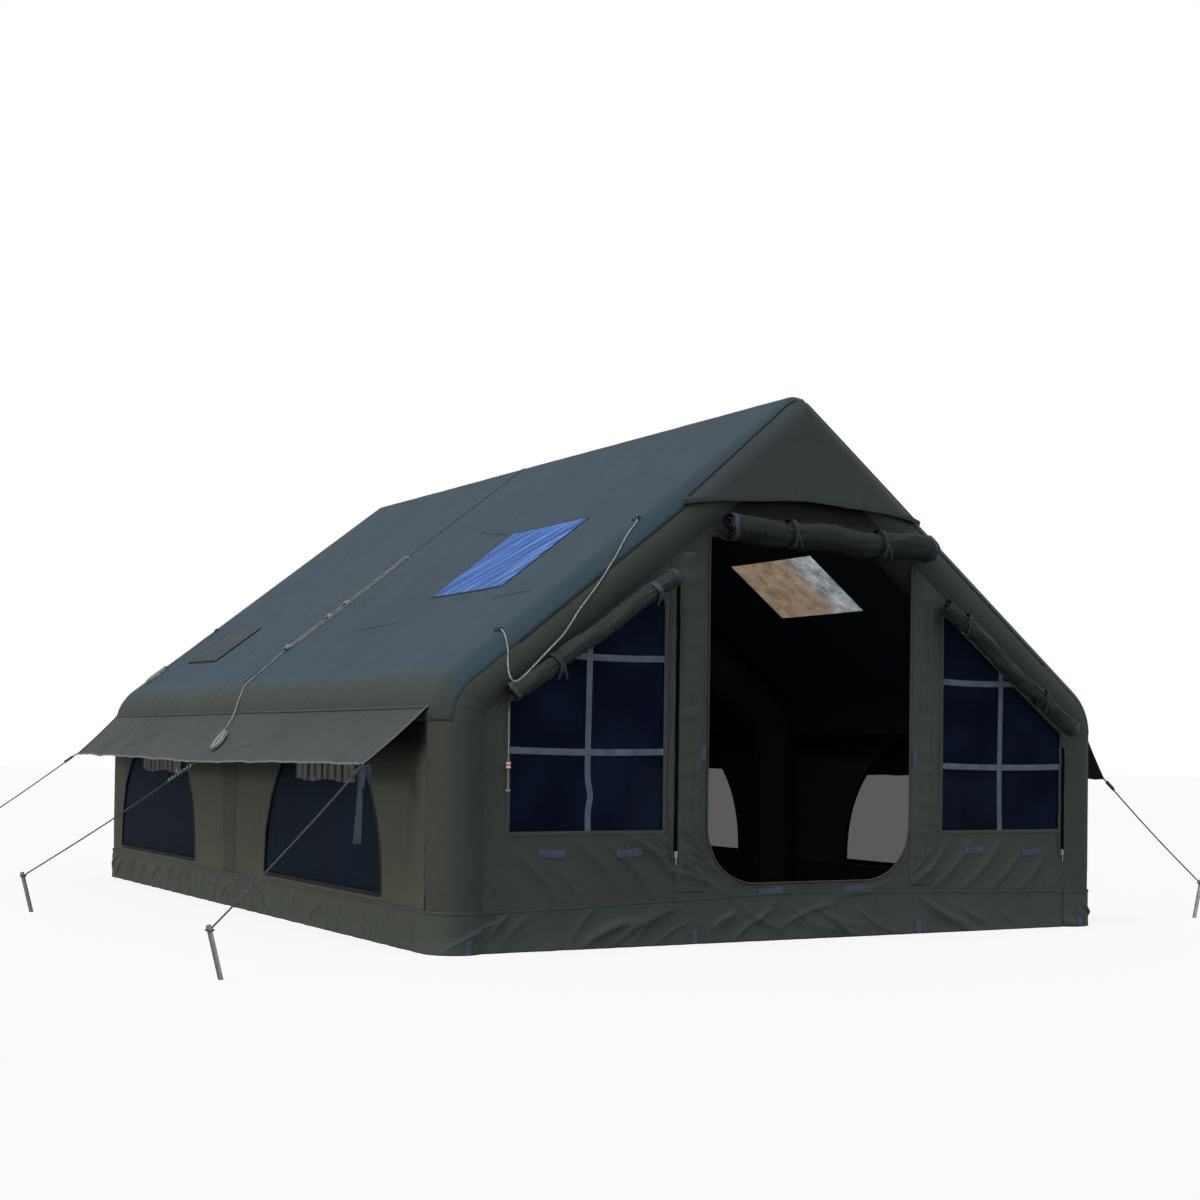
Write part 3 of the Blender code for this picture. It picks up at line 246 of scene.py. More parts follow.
def knot(name, centre, size, material, lean=0.0):
    """A rope's overhand knot pulled tight, as a trefoil round its own rope."""
    run = []
    for step in range(73):
        turn = 2 * math.pi * step / 72
        x = math.sin(turn) + 2 * math.sin(2 * turn)
        y = math.cos(turn) - 2 * math.cos(2 * turn)
        z = -math.sin(3 * turn)
        place = Matrix.Rotation(lean, 3, "Y") @ Vector((x, y, 0.8 * z)) * size / 6
        run.append(tuple(Vector(centre) + place))
    thick = size / 3.4

    def section(share, along):
        return [
            (thick / 2 * math.cos(2 * math.pi * k / 8), thick / 2 * math.sin(2 * math.pi * k / 8)) for k in range(8)
        ]

    return on_body(swept(name, run, section), material)


def on_slope(y, x, lift=ON_CANVAS):
    """A place on the left slope, this far above the canvas."""
    return (x - math.sin(PITCH) * lift, y, RIDGE + x * SLOPE + math.cos(PITCH) * lift)


def hank_run(matrix, loops_in=3, steps=24, half_width=0.020, half_length=0.050, spread=0.0105, layer=0.0095):
    """Loops that spiral in on the cloth, climb and spiral out again, drawn in at the waist."""
    run = []
    for step in range(2 * loops_in * steps + 1):
        loops = step / steps
        turn = 2 * math.pi * loops
        out = abs(loops - loops_in)
        climb = min(1, max(0, 2 * (loops - loops_in) + 0.5))
        waist = 1 - 0.35 * abs(math.sin(turn)) ** 3
        place = Vector((
            (half_width * waist + spread * out) * math.sin(turn),
            (half_length + spread * out) * math.cos(turn),
            ON_CANVAS + layer * climb,
        ))
        run.append(tuple(matrix @ place))
    return run


light_rope = rope_fibre("light_rope", (0.15, 0.155, 0.145), (0.43, 0.44, 0.41))
dark_rope = rope_fibre("guy_rope", (0.030, 0.032, 0.036), (0.085, 0.090, 0.100))

front_places = [
    (-0.905, -2.6526, 2.0644), (-0.9175, -2.6738, 2.0529), (-0.93, -2.6945, 2.0376), (-0.964, -2.7095, 2.0047),
    (-0.998, -2.724, 1.9699), (-1.0273, -2.7405, 1.9342), (-1.0567, -2.7556, 1.896), (-1.086, -2.769, 1.8555),
    (-1.1207, -2.7791, 1.8116), (-1.1553, -2.7876, 1.7664), (-1.19, -2.7945, 1.7202), (-1.245, -2.8004, 1.6535),
    (-1.3, -2.8038, 1.5861), (-1.390, -2.830, 1.475), (-1.490, -2.885, 1.400), (-1.628, -2.918, 1.280),
    (-1.685, -2.920, 1.240), (-1.708, -2.905, 1.268), (-1.690, -2.850, 1.325), (-1.664, -2.7972, 1.3433),
    (-1.6605, -2.7904, 1.3679), (-1.657, -2.7815, 1.3912), (-1.6546, -2.7697, 1.4138), (-1.6522, -2.7559, 1.4342),
    (-1.6498, -2.7402, 1.4521), (-1.6474, -2.723, 1.4672), (-1.645, -2.7046, 1.4793), (-1.6433, -2.6877, 1.4871),
    (-1.6417, -2.6702, 1.4922), (-1.64, -2.6526, 1.4948),
]
doubled_places = [
    on_slope(y, x)
    for y, x in (
        (0.270, -0.838), (0.242, -1.088), (0.229, -1.351), (0.250, -1.56), (0.276, -1.60),
        (0.302, -1.56), (0.296, -1.351), (0.304, -1.088), (0.318, -0.838),
    )
]
tail_places = [
    (-1.6276, 0.276, 1.504), (-1.7326, 0.235, 1.4226), (-1.8816, 0.18, 1.3072), (-1.9331, 0.13, 1.2569),
    (-2.0278, 0.0106, 1.1044), (-2.0622, -0.0422, 1.0696), (-2.1211, -0.0907, 1.0064), (-2.1261, -0.1153, 1.0014),
    (-2.1259, -0.1297, 1.0016), (-2.123, -0.1355, 1.0045),
]
back_places = [
    (-1.3026, 2.6, 1.7559), (-1.4026, 2.61, 1.6784), (-1.5026, 2.6, 1.6009), (-1.655, 2.616, 1.4828),
    (-1.6708, 2.6, 1.4706), (-1.6771, 2.588, 1.4657), (-1.6771, 2.5809, 1.4657),
]
middle_hank = Matrix((
    (0.40582, 0.57575, -0.70981, -2.16649),
    (-0.81736, 0.57613, 0.0, -0.18322),
    (0.40894, 0.58017, 0.7044, 0.95459),
    (0.0, 0.0, 0.0, 1.0),
))
back_hank = Matrix((
    (0.0, 0.79042, -0.61257, -1.73891),
    (-1.0, 0.0, 0.0, 2.58),
    (0.0, 0.61257, 0.79042, 1.41234),
    (0.0, 0.0, 0.0, 1.0),
))
rope_runs = {
    "rope_front": (smooth_run(front_places, 0.006), ("rope_front",), "object", "hanging"),
    "rope_middle": (smooth_run(doubled_places, 0.006), ("rope_middle",), "object", "loose"),
    "rope_tail": (
        smooth_run([*tail_places[:-1], *hank_run(middle_hank)], 0.006),
        ("rope_tail", "rope_hank_middle"), "knot", "coiled",
    ),
    "rope_back": (
        smooth_run([*back_places[:-1], *hank_run(back_hank)], 0.006),
        ("rope_back", "rope_hank_back"), "knot", "coiled",
    ),
}


for name, (run, nodes_replaced, far_end, lay) in rope_runs.items():
    rope = laid_rope(f"laid_{name}", run, ROPE, light_rope)
    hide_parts(*nodes_replaced)
    knots = [(f"{name}_knot", run[-1] if far_end == "knot" else run[0], 0.030)]
    if name == "rope_middle":
        ties = ((0.262, -1.345), (0.262, -1.235), (0.276, -1.602))
        knots += [(f"rope_middle_tie_{number}", on_slope(y, x, 0.012), 0.040) for number, (y, x) in enumerate(ties)]
    if far_end == "object":
        knots.append((f"{name}_end_knot", run[-1], 0.028))
    pieces = [slotted(knot(*tied, light_rope, -PITCH)) for tied in knots]

guys = {
    "front_left": ((-2.2811, -2.6005, 0.8589), (-3.1605, -3.1837, 0.2061)),
    "middle_left": ((-2.2813, -0.1246, 0.8369), (-3.1691, 0.0973, 0.2067)),
    "back_left": ((-2.2812, 2.6003, 0.8588), (-3.1393, 2.8766, 0.2071)),
    "front_right": ((2.2248, -2.6001, 0.8088), (2.9389, -2.6492, 0.2083)),
}
GUY_SAG = 0.012
WRAP_TURNS = 8
WRAP_STEPS = 12
for name, (start, end) in guys.items():
    start, end = Vector(start), Vector(end)
    steps = round((end - start).length / 0.008)
    run = []
    for share in (step / steps for step in range(steps + 1)):
        run.append(tuple(start + (end - start) * share - Vector((0, 0, GUY_SAG * math.sin(math.pi * share)))))
    guy = laid_rope(f"laid_guy_{name}", run, ROPE, dark_rope, strands=4, pitch=0.05)
    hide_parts(f"guy_{name}")
    along = (end - start).normalized()
    side = along.cross(Vector((0, 0, 1))).normalized()
    over = side.cross(along)
    turns = []
    bound = 0.16 if name == "middle_left" else 0.07
    for step in range(WRAP_TURNS * WRAP_STEPS + 1):
        turn = 2 * math.pi * step / WRAP_STEPS
        place = start + (end - start) * 0.03 + along * bound * step / (WRAP_TURNS * WRAP_STEPS)
        turns.append(tuple(place + (side * math.cos(turn) + over * math.sin(turn)) * 0.0075))
    wrap = laid_rope(f"guy_wrap_{name}", turns, 0.006, dark_rope if name != "middle_left" else light_rope, sides=8)
    loop = []
    stake_tie = end + along * 0.012
    for step in range(17):
        turn = 2 * math.pi * step / 16
        out = Vector((math.cos(turn), math.sin(turn), 0.12 * math.sin(turn))) * 0.0165
        loop.append(tuple(stake_tie + out))
    noose = laid_rope(f"guy_noose_{name}", loop, 0.007, dark_rope, sides=8)

CORD = 0.005
CORD_LENGTH = 0.37
CORD_X, CORD_Y, CORD_TOP = -1.655, -2.80, 1.118
cord_run = [(CORD_X, CORD_Y, CORD_TOP - CORD_LENGTH * step / 40) for step in range(41)]
hanging = laid_rope("laid_window_cord", cord_run, CORD, light_rope, pitch=0.02)
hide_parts("window_cord")
cord_knot = knot("window_cord_knot", (CORD_X, CORD_Y, 0.745), 0.020, light_rope)

# Ground and light: a plain pale floor that the camera sees as white, and even light. The world
# lights from all round, and wide suns make the upper and left sides a little brighter, as in the photo.

FLOOR = 60
floor_data = bpy.data.meshes.new("floor")
floor_corners = [(-FLOOR, -FLOOR, 0), (FLOOR, -FLOOR, 0), (FLOOR, FLOOR, 0), (-FLOOR, FLOOR, 0)]
floor_data.from_pydata(floor_corners, [], [(0, 1, 2, 3)])
floor = bpy.data.objects.new("floor", floor_data)
floor.location.z = -0.0012
bpy.context.scene.collection.objects.link(floor)
floor_finish, nodes, links, shader = noded("pale_floor", (0.80, 0.80, 0.80), 0.9)
white = new_node(nodes, "ShaderNodeEmission", Strength=1.0)
seen = nodes.new("ShaderNodeLightPath")
either = new_node(nodes, "ShaderNodeMath", operation="MAXIMUM")
links.new(seen.outputs["Is Camera Ray"], either.inputs[0])
links.new(seen.outputs["Is Transmission Ray"], either.inputs[1])
floor_shade = new_node(nodes, "ShaderNodeMapRange", To_Min=0.22, To_Max=0.80)
links.new(either.outputs[0], floor_shade.inputs["Value"])
links.new(floor_shade.outputs["Result"], shader.inputs["Base Color"])
part_white = new_node(nodes, "ShaderNodeMath", operation="MULTIPLY")
part_white.inputs[1].default_value = 0.85
links.new(either.outputs[0], part_white.inputs[0])
blend = nodes.new("ShaderNodeMixShader")
links.new(part_white.outputs[0], blend.inputs[0])
links.new(shader.outputs[0], blend.inputs[1])
links.new(white.outputs[0], blend.inputs[2])
links.new(blend.outputs[0], nodes["Material Output"].inputs["Surface"])
floor_data.materials.append(floor_finish)
floor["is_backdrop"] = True

world = bpy.data.worlds.new("studio")
world.use_nodes = True
bpy.context.scene.world = world
nodes, links = world.node_tree.nodes, world.node_tree.links
seen = nodes.new("ShaderNodeLightPath")
first = new_node(nodes, "ShaderNodeMath", operation="MAXIMUM")
links.new(seen.outputs["Is Camera Ray"], first.inputs[0])
links.new(seen.outputs["Is Glossy Ray"], first.inputs[1])
second = new_node(nodes, "ShaderNodeMath", operation="MAXIMUM")
links.new(first.outputs[0], second.inputs[0])
links.new(seen.outputs["Is Transmission Ray"], second.inputs[1])
strength = new_node(nodes, "ShaderNodeMapRange", To_Min=0.42, To_Max=1.0)
links.new(second.outputs[0], strength.inputs["Value"])
sky = nodes["Background"]
sky.inputs["Color"].default_value = (1, 1, 1, 1)
links.new(strength.outputs["Result"], sky.inputs["Strength"])


def sun(name, toward, strength, spread, tint=(1, 1, 1)):
    data = bpy.data.lights.new(name, "SUN")
    data.energy = strength
    data.color = tint
    data.angle = math.radians(spread)
    lamp = bpy.data.objects.new(name, data)
    lamp.rotation_euler = Vector(toward).to_track_quat("Z", "Y").to_euler()
    bpy.context.scene.collection.objects.link(lamp)


sun("high_left", (-0.34, -0.12, 0.93), 1.35, 30, (0.90, 0.97, 1.0))
sun("low_left", (-0.93, -0.22, 0.28), 0.55, 14, (1.0, 0.99, 0.94))
sun("front_fill", (0.15, -0.90, 0.45), 0.45, 50)
bpy.context.scene.view_settings.view_transform = "Standard"

# Roof: coated canvas in two slopes, drawn over three air arches, folded over the eaves, and wrapped round
# the end arches to a seam on their front. Flat seams run up the middle arch and round the film windows.

SLEEVE = 0.1474
ARCH_BEND = 0.165
BEND = ARCH_BEND + SLEEVE
ARCH_Y = 2.6526
MIDDLE_Y = 0.15
BACK_WRAP = 60


def shader_group(name, inputs, outputs):
    """An empty group with these sockets, each with its kind and, for an input, its value."""
    group = bpy.data.node_groups.new(name, "ShaderNodeTree")
    for socket, kind, value in inputs:
        made = group.interface.new_socket(socket, in_out="INPUT", socket_type=kind)
        if value is not None:
            made.default_value = value
    for socket, kind in outputs:
        group.interface.new_socket(socket, in_out="OUTPUT", socket_type=kind)
    return group, group.nodes, group.links, group.nodes.new("NodeGroupInput"), group.nodes.new("NodeGroupOutput")


def sums(nodes, links, operation, first, second):
    """A maths node of two things, each a socket or a number."""
    made = new_node(nodes, "ShaderNodeMath", operation=operation)
    for slot, thing in enumerate((first, second)):
        if isinstance(thing, (int, float)):
            made.inputs[slot].default_value = thing
        else:
            links.new(thing, made.inputs[slot])
    return made.outputs[0]


plain_weave, nodes, links, given, out = shader_group(
    "plain_weave",
    [("Cloth Metres", "NodeSocketVector", None), ("Threads", "NodeSocketFloat", 900.0)],
    [("Height", "NodeSocketFloat")],
)
parts = nodes.new("ShaderNodeSeparateXYZ")
links.new(given.outputs["Cloth Metres"], parts.inputs[0])
speed = sums(nodes, links, "MULTIPLY", given.outputs["Threads"], math.pi)
warp = sums(nodes, links, "SINE", sums(nodes, links, "MULTIPLY", parts.outputs["X"], speed), 0)
weft = sums(nodes, links, "SINE", sums(nodes, links, "MULTIPLY", parts.outputs["Y"], speed), 0)
slub = new_node(nodes, "ShaderNodeTexNoise", Scale=140.0, Detail=2.0)
links.new(given.outputs["Cloth Metres"], slub.inputs["Vector"])
over = sums(nodes, links, "MULTIPLY", warp, weft)
height = sums(nodes, links, "ADD", sums(nodes, links, "MULTIPLY", over, 0.5), slub.outputs["Fac"])
links.new(height, out.inputs["Height"])

worn_canvas, nodes, links, given, out = shader_group(
    "worn_canvas",
    [
        ("Place", "NodeSocketVector", None),
        ("Colour", "NodeSocketColor", (0.05, 0.06, 0.05, 1)),
        ("Dust", "NodeSocketColor", (0.09, 0.085, 0.07, 1)),
        ("Dust Height", "NodeSocketFloat", 0.30),
        ("Fading", "NodeSocketFloat", 0.25),
    ],
    [("Colour", "NodeSocketColor"), ("Roughness", "NodeSocketFloat"), ("Crumple", "NodeSocketFloat")],
)
broad = new_node(nodes, "ShaderNodeTexNoise", Scale=0.9, Detail=3.0)
blotch = new_node(nodes, "ShaderNodeTexNoise", Scale=5.5, Detail=5.0, Roughness=0.6)
fine = new_node(nodes, "ShaderNodeTexNoise", Scale=9.0, Detail=3.0, Distortion=0.6)
for noise in (broad, blotch, fine):
    links.new(given.outputs["Place"], noise.inputs["Vector"])
both = sums(
    nodes, links, "ADD", sums(nodes, links, "MULTIPLY", broad.outputs["Fac"], 0.6),
    sums(nodes, links, "MULTIPLY", blotch.outputs["Fac"], 0.4),
)
swing = sums(nodes, links, "MULTIPLY", sums(nodes, links, "SUBTRACT", both, 0.5), given.outputs["Fading"])
gain = sums(nodes, links, "ADD", sums(nodes, links, "MULTIPLY", swing, 2.6), 1.0)
shade = new_node(nodes, "ShaderNodeVectorMath", operation="SCALE")
links.new(given.outputs["Colour"], shade.inputs[0])
links.new(gain, shade.inputs["Scale"])
parts = nodes.new("ShaderNodeSeparateXYZ")
links.new(given.outputs["Place"], parts.inputs[0])
low = nodes.new("ShaderNodeMath")
low.operation = "SUBTRACT"
low.use_clamp = True
low.inputs[0].default_value = 1.0
links.new(sums(nodes, links, "DIVIDE", parts.outputs["Z"], given.outputs["Dust Height"]), low.inputs[1])
dusty = sums(nodes, links, "MULTIPLY", sums(nodes, links, "MULTIPLY", low.outputs[0], blotch.outputs["Fac"]), 0.8)
mix = new_node(nodes, "ShaderNodeMix", data_type="RGBA")
links.new(dusty, mix.inputs["Factor"])
links.new(shade.outputs["Vector"], mix.inputs["A"])
links.new(given.outputs["Dust"], mix.inputs["B"])
links.new(mix.outputs["Result"], out.inputs["Colour"])
links.new(
    sums(nodes, links, "ADD", sums(nodes, links, "MULTIPLY", blotch.outputs["Fac"], 0.2), 0.68),
    out.inputs["Roughness"],
)
links.new(fine.outputs["Fac"], out.inputs["Crumple"])


def canvas(name, colour, fading=0.25, threads=900.0, crumple=0.004, dust_height=0.30):
    """Coated cotton canvas: a fine weave, soft crumples, uneven fading, and dust near the ground."""
    made, nodes, links, shader = noded(name, colour, 0.8)
    places = nodes.new("ShaderNodeTexCoord")
    worn = new_node(nodes, "ShaderNodeGroup", node_tree=worn_canvas)
    worn.inputs["Colour"].default_value = (*colour, 1)
    worn.inputs["Dust"].default_value = (colour[0] * 1.7, colour[1] * 1.5, colour[2] * 1.35, 1)
    worn.inputs["Dust Height"].default_value = dust_height
    worn.inputs["Fading"].default_value = fading
    links.new(places.outputs["Object"], worn.inputs["Place"])
    links.new(worn.outputs["Colour"], shader.inputs["Base Color"])
    links.new(worn.outputs["Roughness"], shader.inputs["Roughness"])
    shader.inputs["Specular IOR Level"].default_value = 0.25
    weave = new_node(nodes, "ShaderNodeGroup", node_tree=plain_weave)
    weave.inputs["Threads"].default_value = threads
    links.new(places.outputs["UV"], weave.inputs["Cloth Metres"])
    fine = new_node(nodes, "ShaderNodeBump", Strength=0.35, Distance=0.0004)
    links.new(weave.outputs["Height"], fine.inputs["Height"])
    soft = new_node(nodes, "ShaderNodeBump", Strength=0.6, Distance=crumple)
    links.new(worn.outputs["Crumple"], soft.inputs["Height"])
    links.new(fine.outputs["Normal"], soft.inputs["Normal"])
    links.new(soft.outputs["Normal"], shader.inputs["Normal"])
    return made


def turning(material, space, axis, start, end, first, second):
    """Lets a canvas change from its first colour to its second between two places along one axis."""
    nodes, links = material.node_tree.nodes, material.node_tree.links
    worn = next(node for node in nodes if node.type == "GROUP" and node.node_tree == worn_canvas)
    parts = nodes.new("ShaderNodeSeparateXYZ")
    links.new(nodes.new("ShaderNodeTexCoord").outputs[space], parts.inputs[0])
    share = new_node(nodes, "ShaderNodeMapRange", From_Min=start, From_Max=end)
    links.new(parts.outputs[axis], share.inputs["Value"])
    mix = new_node(nodes, "ShaderNodeMix", data_type="RGBA")
    mix.inputs["A"].default_value = (*first, 1)
    mix.inputs["B"].default_value = (*second, 1)
    links.new(share.outputs["Result"], mix.inputs["Factor"])
    links.new(mix.outputs["Result"], worn.inputs["Colour"])


def waves(u, v, length, stretch, seed):
    """Uneven soft waves from about -1 to 1 over a sheet's metres, longer along v by the stretch."""
    chance = np.random.default_rng(seed)
    total = 0
    for share in (1, 0.63, 0.41):
        for _ in range(3):
            turn, phase = chance.uniform(-0.5, 0.5), chance.uniform(0, 2 * math.pi)
            across = u * math.cos(turn) + v * math.sin(turn) / stretch
            total = total + share * np.sin(2 * math.pi * across / (length * share) + phase) / 4.5
    return total


def crease(u, v, start, end, width, height):
    """A soft fold that runs from start to end over the sheet and dies out at both."""
    run = np.array(end, float) - start
    length = np.linalg.norm(run)
    run /= length
    share = ((u - start[0]) * run[0] + (v - start[1]) * run[1]) / length
    off = (v - start[1]) * run[0] - (u - start[0]) * run[1]
    bow = 0.06 * length * np.sin(math.pi * np.clip(share, 0, 1))
    fade = np.sin(math.pi * np.clip(share, 0, 1)) ** 0.7
    return height * fade * np.exp(-(((off - bow) / width) ** 2))


def thickened(piece, thickness):
    """Gives a sheet its thickness, inward from its outer face."""
    shell = piece.modifiers.new("thickness", "SOLIDIFY")
    shell.thickness, shell.offset = thickness, -1


def cloth(name, points, metres, material, thickness=0.0012, drop=None, body="tent"):
    """A sheet through rows of points. metres holds their places on the flat cloth, and drop marks faces cut out."""
    rows, columns = points.shape[:2]
    faces = []
    for row in range(rows - 1):
        for column in range(columns - 1):
            if drop is None or not drop[row, column]:
                a = row * columns + column
                faces.append((a, a + 1, a + 1 + columns, a + columns))
    piece = in_metres(smooth_mesh(name, points.reshape(-1, 3), faces), metres.reshape(-1, 2))
    loose = bmesh.new()
    loose.from_mesh(piece.data)
    bmesh.ops.delete(loose, geom=[vert for vert in loose.verts if not vert.link_faces], context="VERTS")
    loose.to_mesh(piece.data)
    loose.free()
    thickened(piece, thickness)
    return on_body(piece, material, body)


def strip(name, run, faces_out, width, material, thickness=0.0016, body="tent"):
    """Webbing, tape or a seam: a flat band with a slight crown along the run, with its face turned outward."""
    path = np.array(run, float)
    outward = np.broadcast_to(np.array(faces_out, float), path.shape)
    tangents = np.gradient(path, axis=0)
    tangents /= np.linalg.norm(tangents, axis=1)[:, None]
    across = np.cross(tangents, outward)
    across /= np.linalg.norm(across, axis=1)[:, None]
    rise = np.cross(across, tangents)
    lift = thickness * np.sign((rise * outward).sum(axis=1))[:, None]
    widths = np.broadcast_to(np.array(width, float), len(path))[:, None]
    section = ((-0.5, 0), (-0.5, 0.7), (-0.25, 1), (0.25, 1), (0.5, 0.7), (0.5, 0))
    points = np.stack([path + across * widths * a + rise * lift * b for a, b in section], axis=1)
    count = len(section)
    piece = smooth_mesh(name, points.reshape(-1, 3), ring_faces(len(path), count), 50)
    shape = bmesh.new()
    shape.from_mesh(piece.data)
    bmesh.ops.recalc_face_normals(shape, faces=shape.faces)
    shape.to_mesh(piece.data)
    shape.free()
    over = np.tile([a for a, _ in section], len(path)) * np.repeat(widths[:, 0], count)
    in_metres(piece, np.stack([np.repeat(metres_along(path), count), over], axis=1))
    return on_body(piece, material, body)


def section_line(inset, fold=0.06, slope_steps=96, ridge_steps=6, eave_steps=16):
    """The roof's section at this depth: x and z from the ridge to the seam under the eave, and the lean there."""
    radius = fold - inset / 2
    top = RIDGE - inset / math.cos(PITCH) - radius / math.cos(PITCH)
    lean = np.linspace(0, PITCH, ridge_steps)
    ridge = np.stack([radius * np.sin(lean), top + radius * np.cos(lean), lean], axis=1)
    turn = BEND - inset
    corner_x = HALF_WIDTH - inset
    corner_z = RIDGE - inset / math.cos(PITCH) - corner_x * SLOPE
    centre = (corner_x - turn, corner_z - turn * math.tan((math.pi / 2 - PITCH) / 2))
    lean = np.linspace(PITCH, math.pi / 2, eave_steps)
    eave = np.stack([centre[0] + turn * np.sin(lean), centre[1] + turn * np.cos(lean), lean], axis=1)
    shares = np.linspace(0, 1, slope_steps)[1:-1, None]
    slope = ridge[-1] + (eave[0] - ridge[-1]) * shares
    return np.concatenate([ridge, slope, eave])


# Painted reflection: the slopes' blue-grey stands for the sky reflected in the canvas; towards the eaves it turns
# to the canvas's own olive.
roof_sky_reflection_blue = (0.027, 0.048, 0.067)
roof_canvas = canvas("roof_canvas", roof_sky_reflection_blue, fading=0.22, crumple=0.003, dust_height=0.01)
turning(roof_canvas, "UV", "Y", 2.33, 2.52, roof_sky_reflection_blue, (0.044, 0.054, 0.047))
film_places = {"left": ((-1.943, -1.065), (0.987, 1.620)), "right": ((-1.63, -0.80), (1.080, 1.610))}
FILM_LAP = 0.015
STOVE_Y, STOVE_DOWN, STOVE_HOLE = 1.89, 1.875, 0.095
wraps = np.radians(np.linspace(BACK_WRAP, 0, 9))
ends = [(-ARCH_Y - SLEEVE * math.sin(turn), SLEEVE * (1 - math.cos(turn))) for turn in wraps]
lines = sorted({*np.round(np.linspace(-ARCH_Y, ARCH_Y, 181), 4)[1:-1], *film_places["left"][0]})


def slope_shape(side, y, down, depth):
    """How far the canvas stands off its taut line at this y and this far down the slope."""
    start = np.where(y < MIDDLE_Y, -ARCH_Y, MIDDLE_Y)
    end = np.where(y < MIDDLE_Y, MIDDLE_Y, ARCH_Y)
    bay = np.sin(math.pi * np.clip((y - start) / (end - start), 0, 1)) ** 1.5
    slope = np.sin(math.pi * np.clip(down / 2.55, 0, 1)) ** 0.8
    taut = 1 - np.clip(depth / SLEEVE, 0, 1)
    sag = -0.016 * bay * slope
    ripple = 0.0015 * waves(y, down, 0.55, 2.5, 3 + side) * (0.35 + bay) * taut
    pull = 0.003 * waves(y, down, 0.16, 5.0, 9 + side) * np.exp(-(((down - 2.45) / 0.22) ** 2)) * bay
    return sag + ripple + pull


def slope_place(side, y, down, lift=0.0):
    """A place this far along and down one slope and this far above its canvas."""
    y, down = np.asarray(y, float), np.asarray(down, float)
    off = slope_shape(side, y, down, 0.0) + lift
    x = side * (down * math.cos(PITCH) + math.sin(PITCH) * off)
    return np.stack([x, y + 0 * down, RIDGE - down * math.sin(PITCH) + math.cos(PITCH) * off], axis=-1)


for side, label in ((-1, "left"), (1, "right")):
    (low, high), (top, bottom) = film_places[label]
    stops = sorted({*lines, low, high} - ({*film_places["left"][0]} if side > 0 else set()))
    stations = [*ends, *((y, 0) for y in stops), *((-y, depth) for y, depth in reversed(ends))]
    grid, flat = [], []
    for y, depth in stations:
        line = section_line(depth)
        steps = np.concatenate([[0], np.cumsum(np.hypot(*np.diff(line[:, :2], axis=0).T))])
        steps += (0.06 - depth / 2) * (math.tan(PITCH) - PITCH)
        off = slope_shape(side, np.full(len(line), y), steps, depth)
        x = side * (line[:, 0] + np.sin(line[:, 2]) * off)
        z = line[:, 1] + np.cos(line[:, 2]) * off
        grid.append(np.stack([x, np.full(len(line), y), z], axis=1))
        flat.append(np.stack([np.full(len(line), y), steps], axis=1))
    grid, flat = np.array(grid), np.array(flat)
    grid[:, 0, 0] = side * 0.0002
    middle = (flat[:-1, :-1] + flat[1:, 1:]) / 2
    drop = (middle[..., 0] > low) & (middle[..., 0] < high)
    drop &= (middle[..., 1] > top + FILM_LAP) & (middle[..., 1] < bottom - FILM_LAP)
    if side < 0:
        drop |= np.hypot(middle[..., 0] - STOVE_Y, middle[..., 1] - STOVE_DOWN) < STOVE_HOLE
        grid, flat, drop = grid[:, ::-1], flat[:, ::-1], drop[:, ::-1]
    roof = cloth(f"roof_sheet_{label}", grid, flat, roof_canvas, 0.0014, drop)
    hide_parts(f"roof_{label}")
seam_black = (0.020, 0.029, 0.037)
seam_canvas = canvas("seam_canvas", seam_black, fading=0.1, threads=1500.0, crumple=0.001, dust_height=0.01)
off_slope = {side: (side * math.sin(PITCH), 0, math.cos(PITCH)) for side in (-1, 1)}
for side, label in ((-1, "left"), (1, "right")):
    run = slope_place(side, np.full(200, 0.29), np.linspace(0.03, 2.37, 200), 0.0005)
    slotted(strip(f"roof_seam_{label}", run, off_slope[side], 0.022, seam_canvas, 0.0022))
for name, start, end in (
    ("low_front", (-1.02, 1.86), (-0.60, 1.90)),
    ("low_rear", (-2.02, 1.74), (-2.42, 1.72)),
    ("high_front", (-1.00, 0.99), (-0.52, 0.90)),
):
    run = slope_place(-1, np.linspace(start[0], end[0], 24), np.linspace(start[1], end[1], 24), 0.0004)
    slotted(strip(f"roof_tuck_{name}", run, off_slope[-1], 0.008, seam_canvas, 0.0016))

# Skylights: clear film, welded to the canvas round a hole in each slope. It is a little slack, so it
# lies in long shallow ripples. Its streaky blue outside is a painted reflection of the sky, and inside it is
# painted with daylight as glowing tan and silver foil.

# Outside face: the streaky blue is a painted reflection of the sky on the clear film.
film, nodes, links, shader = noded("skylight_film", (0.06, 0.20, 0.62), 0.5)
shader.inputs["Specular IOR Level"].default_value = 0.12
where = nodes.new("ShaderNodeTexCoord")
turned_flat = new_node(nodes, "ShaderNodeMapping", vector_type="TEXTURE")
turned_flat.inputs["Rotation"].default_value = (0, 0, math.radians(46))
turned_flat.inputs["Scale"].default_value = (1.1, 0.075, 1)
links.new(where.outputs["UV"], turned_flat.inputs["Vector"])
streak = new_node(nodes, "ShaderNodeTexNoise", Scale=1.6, Detail=5.0, Roughness=0.65)
links.new(turned_flat.outputs["Vector"], streak.inputs["Vector"])
ramp = nodes.new("ShaderNodeValToRGB")
for stop, tint in zip(
    (0.34, 0.52, 0.66), ((0.005, 0.040, 0.205, 1), (0.015, 0.098, 0.385, 1), (0.125, 0.330, 0.720, 1)),
):
    element = ramp.color_ramp.elements[0] if stop == 0.34 else ramp.color_ramp.elements.new(stop)
    element.position, element.color = stop, tint
ramp.color_ramp.elements.remove(ramp.color_ramp.elements[-1])
links.new(streak.outputs["Fac"], ramp.inputs["Fac"])
links.new(ramp.outputs["Color"], shader.inputs["Base Color"])
roughened(nodes, links, shader, streak.outputs["Fac"], 0.7, 0.006)
